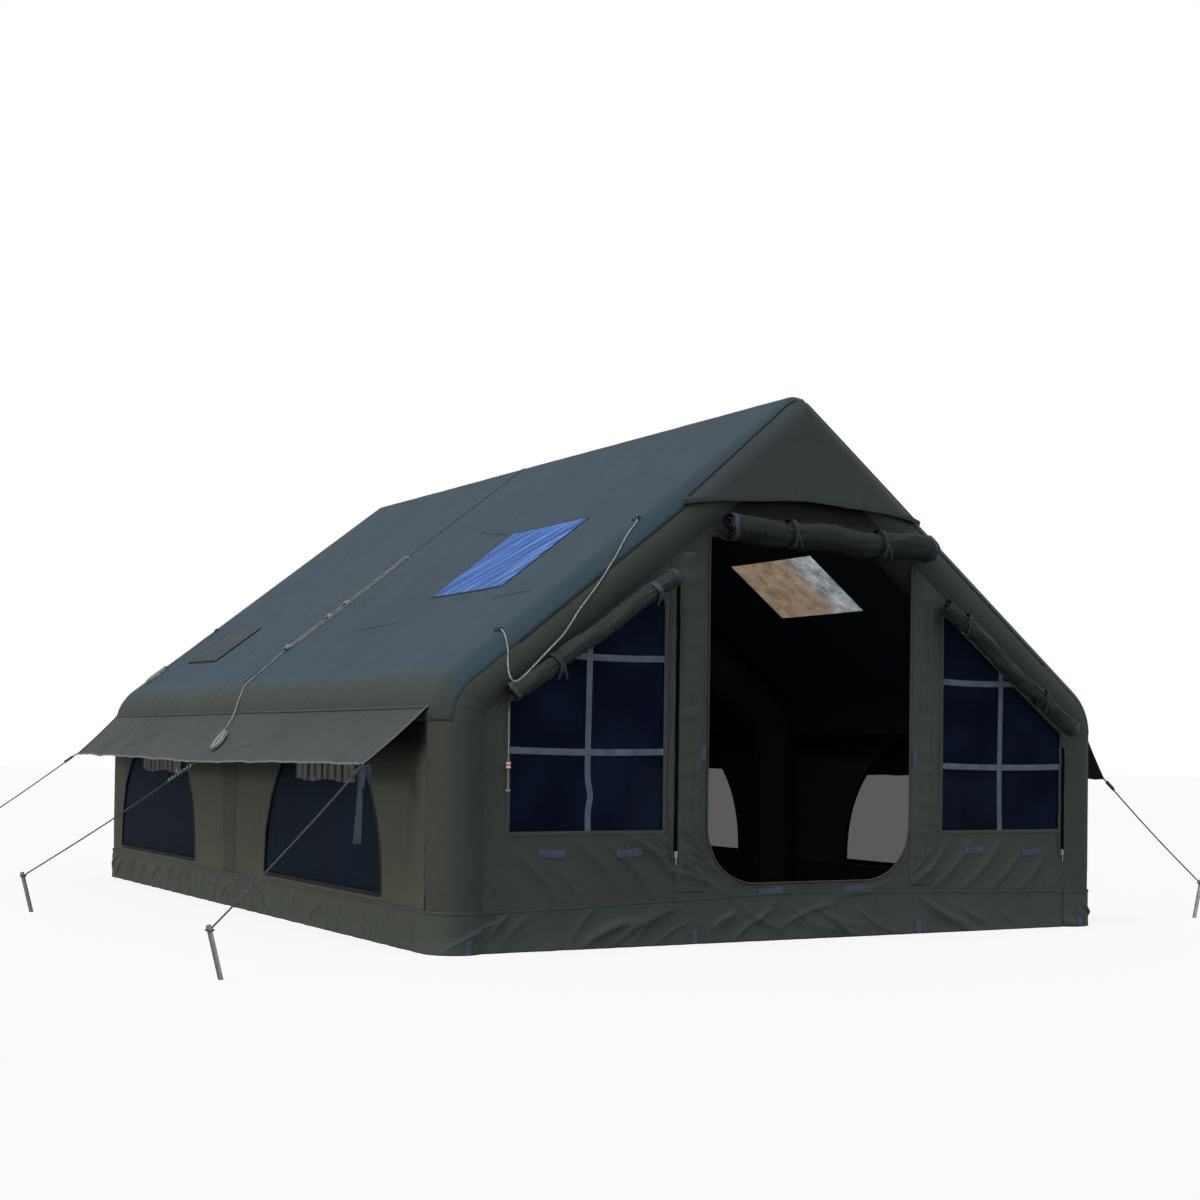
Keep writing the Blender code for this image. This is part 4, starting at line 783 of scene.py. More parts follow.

# Inside face: painted daylight, tan towards the rear and silver towards the front, with a painted glow from its
# emission.
foil, nodes, links, shader = noded("skylight_film_inside", (0.40, 0.31, 0.22), 0.35)
where = nodes.new("ShaderNodeTexCoord")
crumpled = new_node(nodes, "ShaderNodeTexNoise", Scale=9.0, Detail=9.0, Roughness=0.7)
links.new(where.outputs["UV"], crumpled.inputs["Vector"])
along_film = nodes.new("ShaderNodeSeparateXYZ")
links.new(where.outputs["UV"], along_film.inputs[0])
toward_front = new_node(nodes, "ShaderNodeMapRange", From_Min=-1.28, From_Max=-1.48)
links.new(along_film.outputs["X"], toward_front.inputs["Value"])
shades = []
for dark, pale in (((0.17, 0.11, 0.07), (0.52, 0.39, 0.28)), ((0.06, 0.08, 0.10), (0.66, 0.72, 0.76))):
    ramp = nodes.new("ShaderNodeValToRGB")
    for element, position, tint in zip(ramp.color_ramp.elements, (0.30, 0.66), (dark, pale)):
        element.position, element.color = position, (*tint, 1)
    links.new(crumpled.outputs["Fac"], ramp.inputs["Fac"])
    shades.append(ramp.outputs["Color"])
both = new_node(nodes, "ShaderNodeMix", data_type="RGBA")
links.new(toward_front.outputs["Result"], both.inputs["Factor"])
links.new(shades[0], both.inputs["A"])
links.new(shades[1], both.inputs["B"])
links.new(both.outputs["Result"], shader.inputs["Base Color"])
links.new(both.outputs["Result"], shader.inputs["Emission Color"])
shader.inputs["Emission Strength"].default_value = 0.55
roughened(nodes, links, shader, crumpled.outputs["Fac"], 0.8, 0.01)

for side, label in ((-1, "left"), (1, "right")):
    (low, high), (top, bottom) = film_places[label]
    across, down = np.meshgrid(np.linspace(low, high, 90), np.linspace(top, bottom, 64))
    edge = np.minimum.reduce([across - low, high - across, down - top, bottom - down])
    slack = np.clip(edge / 0.05, 0, 1)
    lift = 0.0024 + slack * (
        0.0035 + 0.0028 * waves(across * 0.70 - down * 0.71, across * 0.71 + down * 0.70, 0.11, 6.0, 21)
    )
    points = slope_place(side, across, down, lift)
    flat = np.stack([across, down], axis=-1)
    if side > 0:
        points, flat = points[::-1], flat[::-1]
    sheet = cloth(f"film_{label}", points, flat, film, 0.0008)
    sheet.data.materials.append(foil)
    sheet.modifiers["thickness"].material_offset = 1
    sheet.modifiers["thickness"].material_offset_rim = 0
    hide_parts(f"skylight_{label}")
    corners = ((low, top), (high, top), (high, bottom), (low, bottom))
    for number, (start, end) in enumerate(zip(corners, (*corners[1:], corners[0]))):
        run = slope_place(side, np.linspace(start[0], end[0], 40), np.linspace(start[1], end[1], 40), 0.0026)
        slotted(
            strip(f"film_{label}_hem_{number}", run, off_slope[side], 0.010, seam_canvas, 0.0012),
        )

# Stove opening: a heatproof ring round the flue hole in the left slope, under a canvas flap that is sewn along
# its upper edge. The flap is bound with dark tape and rides on a body of its own.

flap_canvas = canvas("stove_cover", (0.031, 0.046, 0.052), fading=0.2, crumple=0.003, dust_height=0.01)
tape = canvas("dark_tape", (0.010, 0.012, 0.013), fading=0.1, threads=1600.0, crumple=0.0008, dust_height=0.01)
turns = np.linspace(0, 2 * math.pi, 65)
rows = []
for radius, lift in ((0.128, 0.0015), (0.124, 0.0030), (0.082, 0.0032), (0.076, 0.0020), (0.075, -0.0025)):
    rows.append(slope_place(-1, STOVE_Y + radius * np.cos(turns), STOVE_DOWN + radius * np.sin(turns), lift))


def speckled(name, colour, roughness, shades, scale, metallic=0.0):
    """A plain finish whose colour wanders a little between two shades."""
    made, nodes, links, shader = noded(name, colour, roughness, metallic)
    where = nodes.new("ShaderNodeTexCoord").outputs["Object"]
    links.new(mottled(nodes, links, where, shades, scale), shader.inputs["Base Color"])
    return made


patch_finish = speckled("heat_patch", (0.12, 0.12, 0.12), 0.55, ((0.08, 0.08, 0.08), (0.17, 0.17, 0.165)), 22.0)
patch_metres = np.stack(np.meshgrid(turns * 0.1, np.arange(5) * 0.02), axis=-1)
patch = cloth("stove_ring", np.array(rows), patch_metres, patch_finish, 0.0012)
FLAP_LENGTH, FLAP_DROP = 0.600, 0.376
low, high = STOVE_Y - FLAP_LENGTH / 2, STOVE_Y + FLAP_LENGTH / 2
top, bottom = STOVE_DOWN - FLAP_DROP / 2, STOVE_DOWN + FLAP_DROP / 2
across, down = np.meshgrid(np.linspace(low, high, 49), np.linspace(top, bottom, 33))
edge = np.minimum.reduce([across - low, high - across, bottom - down])
lift = 0.0048 + 0.0035 * np.clip(edge / 0.08, 0, 1) + 0.0012 * waves(across, down, 0.21, 2.0, 5)
lift[0] = 0.0022
points = slope_place(-1, across, down, lift)
flap = cloth("stove_flap_sheet", points, np.stack([across, down], axis=-1), flap_canvas, 0.0015, body="stove_cover")
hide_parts("stove_flap")
edges = ((-1, slice(None)), (slice(None), 0), (slice(None), -1), (0, slice(None)))
for number, (edge, finish) in enumerate(zip(edges, (tape, tape, flap_canvas, flap_canvas))):
    run = slope_place(-1, across[edge], down[edge], lift[edge] + 0.0004)
    slotted(
        strip(f"stove_flap_binding_{number}", run, off_slope[-1], 0.012, finish, 0.0022, body="stove_cover"),
    )

# Arches: three cloth sleeves, each holding an air beam. The front one is seen: its legs make the round corners,
# and its bends are cramped into small folds on the inside of the curve. The beams stay hidden in the sleeves.

sleeve_green = (0.041, 0.050, 0.045)
sleeve_canvas = canvas("sleeve_canvas", sleeve_green, fading=0.3, crumple=0.006, dust_height=0.45)
# Painted light: the legs' left sides, where the light falls, are painted a lighter olive.
turning(sleeve_canvas, "Object", "X", -1.99, -1.86, (0.066, 0.070, 0.055), sleeve_green)


def rounded_line(corners, radii, spacing):
    """A dense line through these corners, each rounded by its radius, and a mark of how far it is into a bend."""
    line, bend = [], []
    for index, (corner, radius) in enumerate(zip(corners, radii)):
        corner = np.array(corner, float)
        if not radius:
            line.append(corner)
            bend.append(0.0)
            continue
        back, ahead = np.array(corners[index - 1]) - corner, np.array(corners[index + 1]) - corner
        back, ahead = back / np.linalg.norm(back), ahead / np.linalg.norm(ahead)
        half = math.acos(np.clip(back @ ahead, -1, 1)) / 2
        centre = corner + (back + ahead) / np.linalg.norm(back + ahead) * radius / math.sin(half)
        start = corner + back * radius / math.tan(half) - centre
        sweep = math.pi - 2 * half
        sign = -1 if back[0] * ahead[1] - back[1] * ahead[0] > 0 else 1
        steps = max(4, round(sweep * radius / spacing))
        for step in range(steps + 1):
            turn = sign * sweep * step / steps
            spun = (
                start[0] * math.cos(turn) - start[1] * math.sin(turn),
                start[0] * math.sin(turn) + start[1] * math.cos(turn),
            )
            line.append(centre + spun)
            bend.append(math.sin(math.pi * step / steps))
    full, marks = [], []
    for (start, end), (mark, after) in zip(zip(line, line[1:]), zip(bend, bend[1:])):
        steps = max(1, round(float(np.linalg.norm(end - start)) / spacing))
        for step in range(steps):
            full.append(start + (end - start) * step / steps)
            marks.append(mark + (after - mark) * step / steps)
    return np.array([*full, line[-1]]), np.array([*marks, bend[-1]])


FOOT = 0.0043
SLEEVE_SKIN = 0.1462
BEAM = 0.137
leg = HALF_WIDTH - SLEEVE
crown = RIDGE - SLEEVE / math.cos(PITCH)
shoulder = crown - leg * SLOPE
arch_corners = [(-leg, FOOT), (-leg, shoulder), (0, crown), (leg, shoulder), (leg, FOOT)]
arch, bent = rounded_line(arch_corners, (0, ARCH_BEND, ARCH_BEND, ARCH_BEND, 0), 0.012)
arch_length = float(np.hypot(*np.diff(arch, axis=0).T).sum())
for number, (where, y) in enumerate((("front", -ARCH_Y), ("middle", MIDDLE_Y), ("rear", ARCH_Y))):
    run = np.stack([arch[:, 0], np.full(len(arch), y), arch[:, 1]], axis=1)
    length = metres_along(run)

    def section(share, along, number=number, length=length):
        turns = np.linspace(0, 2 * math.pi, 72, endpoint=False)
        cramp = float(np.interp(along, length, bent))
        inner = np.clip(np.sin(turns) * 0.75 + 0.45, 0, 1)
        folds = 0.5 + 0.5 * np.sin(2 * math.pi * along / 0.052 + 1.3 * np.sin(2 * turns) + number)
        radius = SLEEVE_SKIN - 0.0075 * cramp * inner * folds
        radius = radius + 0.0011 * waves(turns * 0.145, along, 0.30, 4.0, 31 + number)
        foot = min(along, arch_length - along)
        gather = 0.5 + 0.5 * np.sin(turns * 15 + 1.5 * np.sin(3 * turns))
        radius = radius - 0.0065 * gather * math.exp(-(((foot - 0.21) / 0.06) ** 2))
        return list(zip(radius * np.cos(turns), radius * np.sin(turns)))

    sleeve = on_body(swept(f"sleeve_{where}", run, section, caps=False), sleeve_canvas)
    thickened(sleeve, 0.0012)
    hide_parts(f"arch_sleeve_{where}")

beam_film = speckled("beam_film", (0.35, 0.36, 0.36), 0.35, ((0.28, 0.29, 0.29), (0.40, 0.41, 0.41)), 6.0)


def tube_ends(size, girth, total, twist):
    """A blown-up tube's section: round, a little uneven, and drawn in where each end is welded shut."""

    def section(share, along):
        turns = np.linspace(0, 2 * math.pi, 48, endpoint=False)
        end = min(along, total - along)
        radius = size * (0.99 - girth * math.exp(-((end / 0.022) ** 2)) + 0.006 * np.sin(turns * 2 + along * twist))
        return list(zip(radius * np.cos(turns), radius * np.sin(turns)))

    return section


for where, y in (("front", -ARCH_Y), ("middle", MIDDLE_Y), ("rear", ARCH_Y)):
    run = np.stack([arch[1:-1, 0], np.full(len(arch) - 2, y), arch[1:-1, 1]], axis=1)
    beam = on_body(swept(f"beam_tube_{where}", run, tube_ends(BEAM, 0.12, arch_length - 0.024, 2)), beam_film)
    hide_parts(f"air_beam_{where}")

low, high = (np.array(corner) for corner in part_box("ridge_beam"))
radius = (high[0] - low[0]) / 2
centre_z = (low[2] + high[2]) / 2
run = [(0, y, centre_z) for y in np.linspace(low[1] + 0.004, high[1] - 0.004, 200)]
purlin = on_body(swept("ridge_tube", run, tube_ends(radius, 0.18, 2 * high[1] - 0.008, 3)), beam_film)
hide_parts("ridge_beam")

# Front wall: one canvas sheet between the legs, cut out for the door and two windows. It hangs a little slack,
# pulls into slanting folds under the windows and beside the door, and is puckered along its seams.


def inside(points, outline):
    """Which of these flat points lie inside the closed outline."""
    across, high = points[:, 0], points[:, 1]
    odd = np.zeros(len(points), bool)
    for (x1, y1), (x2, y2) in zip(outline, np.roll(outline, -1, axis=0)):
        crosses = (y1 > high) != (y2 > high)
        odd ^= crosses & (across < x1 + (high - y1) * (x2 - x1) / ((y2 - y1) or 1))
    return odd


def stepped(outline, spacing):
    """The closed outline with a point at least at this spacing along each side."""
    ring = []
    corners = np.array(outline, float)
    for start, end in zip(corners, np.roll(corners, -1, axis=0)):
        steps = max(1, round(float(np.linalg.norm(end - start)) / spacing))
        ring += [start + (end - start) * step / steps for step in range(steps)]
    return np.array(ring)


def cut_cloth(name, outline, holes, spacing, place, material, thickness=0.0012, body="tent"):
    """A sheet cut to an outline with holes, in fine triangles, laid where place(across, high) says."""
    rings = [stepped(ring, spacing) for ring in (outline, *holes)]
    low, high = rings[0].min(axis=0), rings[0].max(axis=0)
    rows = np.arange(low[1], high[1], spacing * 0.87)
    across = np.arange(low[0], high[0], spacing)
    grid = np.array([(x + spacing / 2 * (row % 2), z) for row, z in enumerate(rows) for x in across])
    keep = inside(grid, rings[0])
    for ring in rings[1:]:
        keep &= ~inside(grid, ring)
    grid = grid[keep]
    edge = np.concatenate(rings)
    near = np.array([((edge - point) ** 2).sum(axis=1).min() for point in grid]) < (0.55 * spacing) ** 2
    flat = np.concatenate([edge, grid[~near]])
    ties, first = [], 0
    for ring in rings:
        ties += [(first + step, first + (step + 1) % len(ring)) for step in range(len(ring))]
        first += len(ring)
    corners, _, faces, *_ = delaunay_2d_cdt([Vector(point) for point in flat], ties, [], 0, 1e-7)
    flat = np.array([tuple(corner) for corner in corners])
    middles = np.array([flat[list(face)].mean(axis=0) for face in faces])
    kept = inside(middles, rings[0])
    for ring in rings[1:]:
        kept &= ~inside(middles, ring)
    piece = smooth_mesh(name, place(flat[:, 0], flat[:, 1]), [face for face, good in zip(faces, kept) if good])
    in_metres(piece, flat)
    thickened(piece, thickness)
    return on_body(piece, material, body)


wall_green = (0.044, 0.053, 0.050)
front_canvas = canvas("wall_canvas", wall_green, fading=0.34, crumple=0.007, dust_height=0.55)
# Painted shadow: above 2.03 m the front wall turns near black, for the hood's shadow over the rolled door.
turning(front_canvas, "Object", "Z", 2.03, 2.11, wall_green, (0.005, 0.006, 0.006))
FACE = 2.77
INSET = 0.2348
WALL_SIDE = 1.7765
WALL_FOOT = 0.183
SKIRT_TOP = 0.19
DOOR_SIDES = (-0.555, 0.69)
DOOR_SILL = 0.286
DOOR_ZIP, WINDOW_ZIP = -0.735, 1.752
TOP_LAP = 0.012


def wall_top(x):
    return RIDGE - np.abs(x) * SLOPE - INSET / math.cos(PITCH)


front_folds = [
    ((-1.62, 0.47), (-1.36, 0.21), 0.020, 0.010), ((-1.46, 0.42), (-1.22, 0.20), 0.016, 0.008),
    ((-1.30, 0.53), (-1.02, 0.22), 0.022, 0.012), ((-1.12, 0.50), (-0.84, 0.22), 0.018, 0.010),
    ((-1.02, 0.54), (-0.70, 0.30), 0.018, 0.012), ((-0.90, 0.55), (-0.60, 0.36), 0.014, 0.010),
    ((-0.86, 0.46), (-0.52, 0.28), 0.012, 0.009), ((-0.80, 0.36), (-0.40, 0.22), 0.012, 0.008),
    ((-0.62, 0.60), (-0.50, 0.33), 0.010, 0.007), ((-0.46, 0.30), (-0.02, 0.215), 0.012, 0.007),
    ((0.72, 0.56), (0.60, 0.30), 0.010, 0.007), ((0.62, 0.30), (0.20, 0.215), 0.012, 0.007),
    ((0.98, 0.50), (0.70, 0.26), 0.016, 0.010), ((1.14, 0.51), (0.82, 0.22), 0.018, 0.011),
    ((1.34, 0.51), (1.02, 0.21), 0.020, 0.011), ((1.50, 0.48), (1.22, 0.21), 0.018, 0.009),
    ((1.66, 0.44), (1.44, 0.21), 0.016, 0.008), ((1.02, 0.36), (0.74, 0.33), 0.008, 0.005),
    ((-1.70, 1.05), (-1.675, 0.40), 0.016, 0.007), ((1.765, 0.95), (1.745, 0.35), 0.016, 0.005),
    ((-0.66, 2.05), (-0.58, 1.99), 0.016, 0.006), ((0.40, 2.26), (0.74, 2.00), 0.020, 0.008),
    ((-0.80, 0.62), (-0.53, 0.40), 0.007, 0.006), ((-0.79, 0.57), (-0.48, 0.34), 0.006, 0.006),
    ((-0.78, 0.51), (-0.44, 0.30), 0.007, 0.006), ((-0.74, 0.43), (-0.36, 0.27), 0.007, 0.005),
    ((-0.99, 0.53), (-0.80, 0.40), 0.007, 0.006), ((-0.93, 0.53), (-0.74, 0.42), 0.006, 0.006),
    ((-1.07, 0.53), (-0.92, 0.36), 0.007, 0.006), ((-1.20, 0.50), (-1.06, 0.30), 0.007, 0.005),
    ((0.86, 0.49), (0.66, 0.28), 0.007, 0.005), ((0.92, 0.44), (0.70, 0.24), 0.008, 0.005),
    ((-1.67, 0.38), (-1.60, 0.24), 0.008, 0.006), ((-1.72, 0.33), (-1.66, 0.21), 0.008, 0.006),
    ((-0.30, 0.275), (0.20, 0.255), 0.006, 0.004), ((0.30, 0.275), (0.64, 0.33), 0.006, 0.004),
]


def front_off(x, z):
    """How far the front wall stands out of its flat plane."""
    room = np.minimum(HALF_WIDTH - np.abs(x), (RIDGE - np.abs(x) * SLOPE - z) * math.cos(PITCH)) - INSET
    free = np.clip(room / 0.09, 0, 1)
    off = 0.0035 * waves(x, z, 0.50, 1.6, 41) * free
    for start, end, width, height in front_folds:
        off = off + crease(x, z, start, end, width, height)
    seam = np.exp(-(((z - SKIRT_TOP) / 0.05) ** 2))
    off = off + 0.0035 * seam * waves(x, z, 0.075, 3.0, 43)
    edge = np.exp(-((room / 0.035) ** 2))
    off = off + 0.0035 * edge * waves(x - z, x + z, 0.06, 5.0, 47)
    for zip_x, low, high in ((DOOR_ZIP, 0.36, 1.83), (WINDOW_ZIP, 0.33, 1.01)):
        beside = np.exp(-(((x - zip_x) / 0.032) ** 4))
        level = np.clip((z - low) / 0.04, 0, 1) * np.clip((high - z) / 0.04, 0, 1)
        off = off * (1 - beside * level)
    return off


def front_place(x, z, lift=0.0):
    x, z = np.asarray(x, float), np.asarray(z, float)
    return np.stack([x, -(FACE + front_off(x, z) + lift), z + 0 * x], axis=-1)


wall_edge = [(x, float(wall_top(x)) + TOP_LAP) for x in (-WALL_SIDE, 0, WALL_SIDE)]
wall_line, _ = rounded_line(
    [(-WALL_SIDE, WALL_FOOT), *wall_edge, (WALL_SIDE, WALL_FOOT)], (0, 0.07, 0.05, 0.07, 0), 0.02,
)
door_top = RIDGE - 0.775
door_corners = [(DOOR_SIDES[0], door_top), *((x, DOOR_SILL) for x in DOOR_SIDES), (DOOR_SIDES[1], door_top)]
door_line, _ = rounded_line(door_corners, (0, 0.28, 0.28, 0), 0.02)


def below_wall(x, below):
    return (x, float(wall_top(x)) - below)


window_lines = {
    "left": [(-1.645, 0.545), (-0.80, 0.545), below_wall(-0.80, 0.105), below_wall(-1.645, 0.033)],
    "right": [(0.90, 0.525), (1.735, 0.525), below_wall(1.735, 0.058), below_wall(0.90, 0.080)],
}
front = cut_cloth(
    "front_wall_sheet", wall_line[::-1], [door_line, *window_lines.values()], 0.0125, front_place, front_canvas,
    0.0015,
)
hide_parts("front_wall")

pale_hem = canvas("hem_canvas", (0.054, 0.062, 0.053), fading=0.2, threads=1300.0, crumple=0.001)
for label, line in window_lines.items():
    ring = np.array(line)
    for number, (start, end) in enumerate(zip(ring, np.roll(ring, -1, axis=0))):
        shares = np.linspace(0, 1, 60)
        run = front_place(start[0] + (end[0] - start[0]) * shares, start[1] + (end[1] - start[1]) * shares, 0.0006)
        wide = 0.010 if (label, number) == ("right", 1) else 0.020
        slotted(
            strip(f"window_hem_{label}_{number}", run, (0, -1, 0), wide, pale_hem, 0.0026),
        )
piping = front_place(door_line[:, 0], door_line[:, 1], 0.003)
turns = np.linspace(0, 2 * math.pi, 10, endpoint=False)
bead = [(0.0042 * math.cos(turn), 0.0042 * math.sin(turn)) for turn in turns]
door_piping = on_body(swept("door_piping", piping, lambda share, along: bead), pale_hem)


def webbing(name, colour, threads=620.0):
    """Woven webbing: a ribbed tape whose colour wanders a little between a darker and a lighter shade."""
    made, nodes, links, shader = noded(name, colour, 0.72)
    where = nodes.new("ShaderNodeTexCoord")
    shades = tuple(c * 0.72 for c in colour), tuple(min(1, c * 1.22) for c in colour)
    links.new(mottled(nodes, links, where.outputs["Object"], shades, 14.0), shader.inputs["Base Color"])
    weave = new_node(nodes, "ShaderNodeGroup", node_tree=plain_weave)
    weave.inputs["Threads"].default_value = threads
    links.new(where.outputs["UV"], weave.inputs["Cloth Metres"])
    roughened(nodes, links, shader, weave.outputs["Height"], 0.5, 0.0007)
    return made


tab_webbing = webbing("tab_webbing", (0.048, 0.060, 0.115))
tab_places = ((-1.407, 0.45), (-0.993, 0.448), (1.13, 0.429), (1.53, 0.412), (-0.179, 0.246), (0.346, 0.247))
for number, (x, z) in enumerate(tab_places):
    span = np.linspace(-1, 1, 15)
    run = front_place(x + 0.07 * span, z + (0.006 if x > -1 else -0.004) * span, 0.001)
    slotted(
        strip(f"front_tab_{number}", run, (0, -1, 0), 0.036, tab_webbing, 0.0028),
    )
for number, (x, z) in enumerate(((-0.588, 0.925), (0.716, 0.90))):
    run = front_place(np.full(9, x), np.linspace(z - 0.035, z + 0.035, 9), 0.012)
    slotted(
        strip(f"door_tab_{number}", run, (0, -1, 0), 0.026, tab_webbing, 0.0028),
    )
stub_run = [(CORD_X, -2.768, 1.1205), (CORD_X, -2.785, 1.122), (CORD_X, -2.803, 1.1205)]
slotted(strip("cord_stub", stub_run, (0, 0, 1), 0.012, tab_webbing, 0.003))

# Door jambs: soft padded strips of lighter canvas, sewn over the wall's edges beside the door, with long
# upright wrinkles where the door sheet has pulled on them.

jamb_canvas = canvas("jamb_canvas", (0.047, 0.058, 0.053), fading=0.30, crumple=0.006, dust_height=0.5)
JAMB_FOOT, JAMB_TOP = 0.25, 1.90
for label, (left, right) in (("left", (-0.775, -0.572)), ("right", (0.700, 0.883))):
    shares, heights = np.meshgrid(np.linspace(0, 1, 34), np.linspace(JAMB_FOOT, JAMB_TOP, 190))
    taper = np.clip((heights - JAMB_FOOT) / 0.35, 0, 1)
    wide = (right - left) * (0.82 + 0.18 * taper) + 0.006 * np.sin(heights * 9 + (1 if label == "left" else 2))
    base = right if label == "left" else left
    x = base - wide * (1 - shares) if label == "left" else base + wide * shares
    top = np.minimum(JAMB_TOP, wall_top(x) - 0.012)
    z = JAMB_FOOT + (heights - JAMB_FOOT) * (top - JAMB_FOOT) / (JAMB_TOP - JAMB_FOOT)
    puff = 0.017 * np.sin(math.pi * shares) ** 0.55 * (0.55 + 0.45 * taper)
    puff = puff + 0.0045 * waves(shares * 0.2, z, 0.07, 7.0, 53 + len(label)) * np.sin(math.pi * shares) ** 0.5
    puff = puff + 0.004 * waves(z, shares * 0.2, 0.13, 1.4, 57 + len(label)) * np.sin(math.pi * shares)
    clear_of_zip = 1 - np.exp(-(((x - DOOR_ZIP) / 0.020) ** 4))
    puff = np.maximum(puff, 0.0) * clear_of_zip * np.clip((heights - JAMB_FOOT) / 0.14, 0, 1)
    points = front_place(x, z, 0.0014 + puff)
    jamb = cloth(f"jamb_{label}", points, np.stack([x, z], axis=-1), jamb_canvas, 0.0014)
    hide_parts(f"door_jamb_{label}")
    for number, column in enumerate((0, -1)):
        edge = points[:, column] - np.array((0, 0.0004, 0))
        hem = strip(f"jamb_{label}_hem_{number}", edge, (0, -1, 0), 0.010, jamb_canvas, 0.0018)

# Windows in the front: fine dark blue insect net behind each opening, under crossed straps of grey blue webbing
# that are sewn to each other and to the opening's edges.

net, nodes, links, shader = noded("window_net", (0.004, 0.008, 0.022), 0.8)
where = nodes.new("ShaderNodeTexCoord")
spread = new_node(nodes, "ShaderNodeGroup", node_tree=plain_weave)
spread.inputs["Threads"].default_value = 420.0
links.new(where.outputs["UV"], spread.inputs["Cloth Metres"])
shade = mottled(nodes, links, where.outputs["Object"], ((0.002, 0.004, 0.012), (0.007, 0.012, 0.032)), 3.2)
links.new(shade, shader.inputs["Base Color"])
roughened(nodes, links, shader, spread.outputs["Height"], 0.4, 0.0005)
shader.inputs["Alpha"].default_value = 0.90
shader.inputs["Specular IOR Level"].default_value = 0.04

strap_webbing = webbing("strap_webbing", (0.080, 0.108, 0.150))
STRAP = 0.031
uprights = {"left": -1.22, "right": 1.305}
rungs = {"left": (0.93, 1.377), "right": (0.874, 1.318)}
for label, line in window_lines.items():
    ring = np.array(line)
    centre = ring.mean(axis=0)
    grown = centre + (ring - centre) * 1.02

    def behind_wall(x, z):
        slack = np.minimum(front_off(x, z), 0.0) + 0.0012 * waves(x, z, 0.4, 1.5, 61)
        return np.stack([x, -(FACE - 0.0045 + slack), z], axis=-1)

    behind = cut_cloth(f"front_net_{label}", grown, [], 0.03, behind_wall, net, 0.0008)
    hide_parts(f"front_mesh_{label}")
    x = uprights[label]
    inner, outer = (ring[2], ring[3]) if label == "left" else (ring[3], ring[2])
    share = (x - inner[0]) / (outer[0] - inner[0])
    top = inner[1] + (outer[1] - inner[1]) * share
    heights = np.linspace(ring[0][1] - 0.004, top + 0.01, 60)
    swerve = x + 0.014 * np.exp(-(((heights - 0.72) / 0.05) ** 2)) * (label == "left") + 0.004 * np.sin(heights * 5)
    run = np.stack([swerve, np.full(60, -(FACE - 0.0012)) - 0.002 * np.sin(heights * 7), heights], axis=1)
    upright = strip(f"strap_upright_{label}", run, (0, -1, 0), STRAP, strap_webbing, 0.0016)
    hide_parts(f"window_strap_{label}")
    for number, z in enumerate(rungs[label]):
        share = np.clip((z - outer[1]) / (inner[1] - outer[1]), 0, 1)
        ends_x = (outer[0] + (inner[0] - outer[0]) * share, inner[0])
        bowed = z - 0.006 * np.sin(np.linspace(0, math.pi, 50))
        run = np.stack([np.linspace(*ends_x, 50), np.full(50, -(FACE - 0.0006)), bowed], axis=1)
        slotted(
            strip(f"strap_rung_{label}_{number}", run, (0, -1, 0), STRAP, strap_webbing, 0.0018),
        )

# Zips: black coil zips on tape beside the left jamb and at the right leg, each closed by a metal slider with a
# hanging pull. The tape is sewn flat; the door sheet's other half is rolled up above.

zip_tape, nodes, links, shader = noded("zip_tape", (0.004, 0.004, 0.005), 0.9)
shader.inputs["Specular IOR Level"].default_value = 0.03
where = nodes.new("ShaderNodeTexCoord")
coil = new_node(nodes, "ShaderNodeTexWave", Scale=95.0, Distortion=0.0)
coil.bands_direction = "X"
links.new(where.outputs["UV"], coil.inputs["Vector"])
roughened(nodes, links, shader, coil.outputs["Fac"], 0.8, 0.001)
shade = mottled(nodes, links, where.outputs["Object"], ((0.002, 0.002, 0.003), (0.006, 0.006, 0.007)), 30.0)
links.new(shade, shader.inputs["Base Color"])
metal = speckled("zip_metal", (0.32, 0.32, 0.33), 0.38, ((0.20, 0.20, 0.20), (0.40, 0.40, 0.41)), 160.0, 1.0)
for label, x, low, high in (("door", DOOR_ZIP, 0.42, 1.80), ("window", WINDOW_ZIP, 0.391, 0.98)):
    heights = np.linspace(low, high, 120)
    back = np.full(120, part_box(f"zip_track_{label}")[1][1])
    run = np.stack([np.full(120, x), back, heights], axis=1)
    zip_strip = strip(f"zip_{label}", run, (0, -1, 0), 0.012, zip_tape, 0.0019)
    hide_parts(f"zip_track_{label}")
    behind_track = run + np.array((0, 0.0003, 0))
    slotted(strip(f"zip_{label}_backing", behind_track, (0, -1, 0), 0.027, zip_tape, 0.0012))
    for side in (-1, 1):
        sway = 0.0025 * np.sin(heights * 23 + side) + 0.0015 * np.sin(heights * 51)
        run = np.stack([x + side * 0.022 + sway, back - 0.0012 - 0.0015 * np.sin(heights * 17), heights], axis=1)
        lip = strip(f"zip_{label}_lip_{side + 1}", run, (0, -1, 0), 0.014, jamb_canvas, 0.0045)
    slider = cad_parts[f"zip_slider_{label}"]
    for holder in slider.material_slots:
        holder.material = metal

# Hood: a canvas triangle over the door, sewn to the roof's front edge along both slopes. Its lower hem hangs
# free, bows up in the middle and stands off to clear the rolled door.

hood_canvas = canvas("hood_canvas", (0.038, 0.048, 0.050), fading=0.2, crumple=0.004, dust_height=0.01)


def roof_edge(x, z):
    """How far forward the roof's rounded front edge is at this place."""
    depth = np.clip((RIDGE - np.abs(x) * SLOPE - z) * math.cos(PITCH), 0, SLEEVE)
    return ARCH_Y + SLEEVE * np.sqrt(np.maximum(0, 1 - (1 - depth / SLEEVE) ** 2))


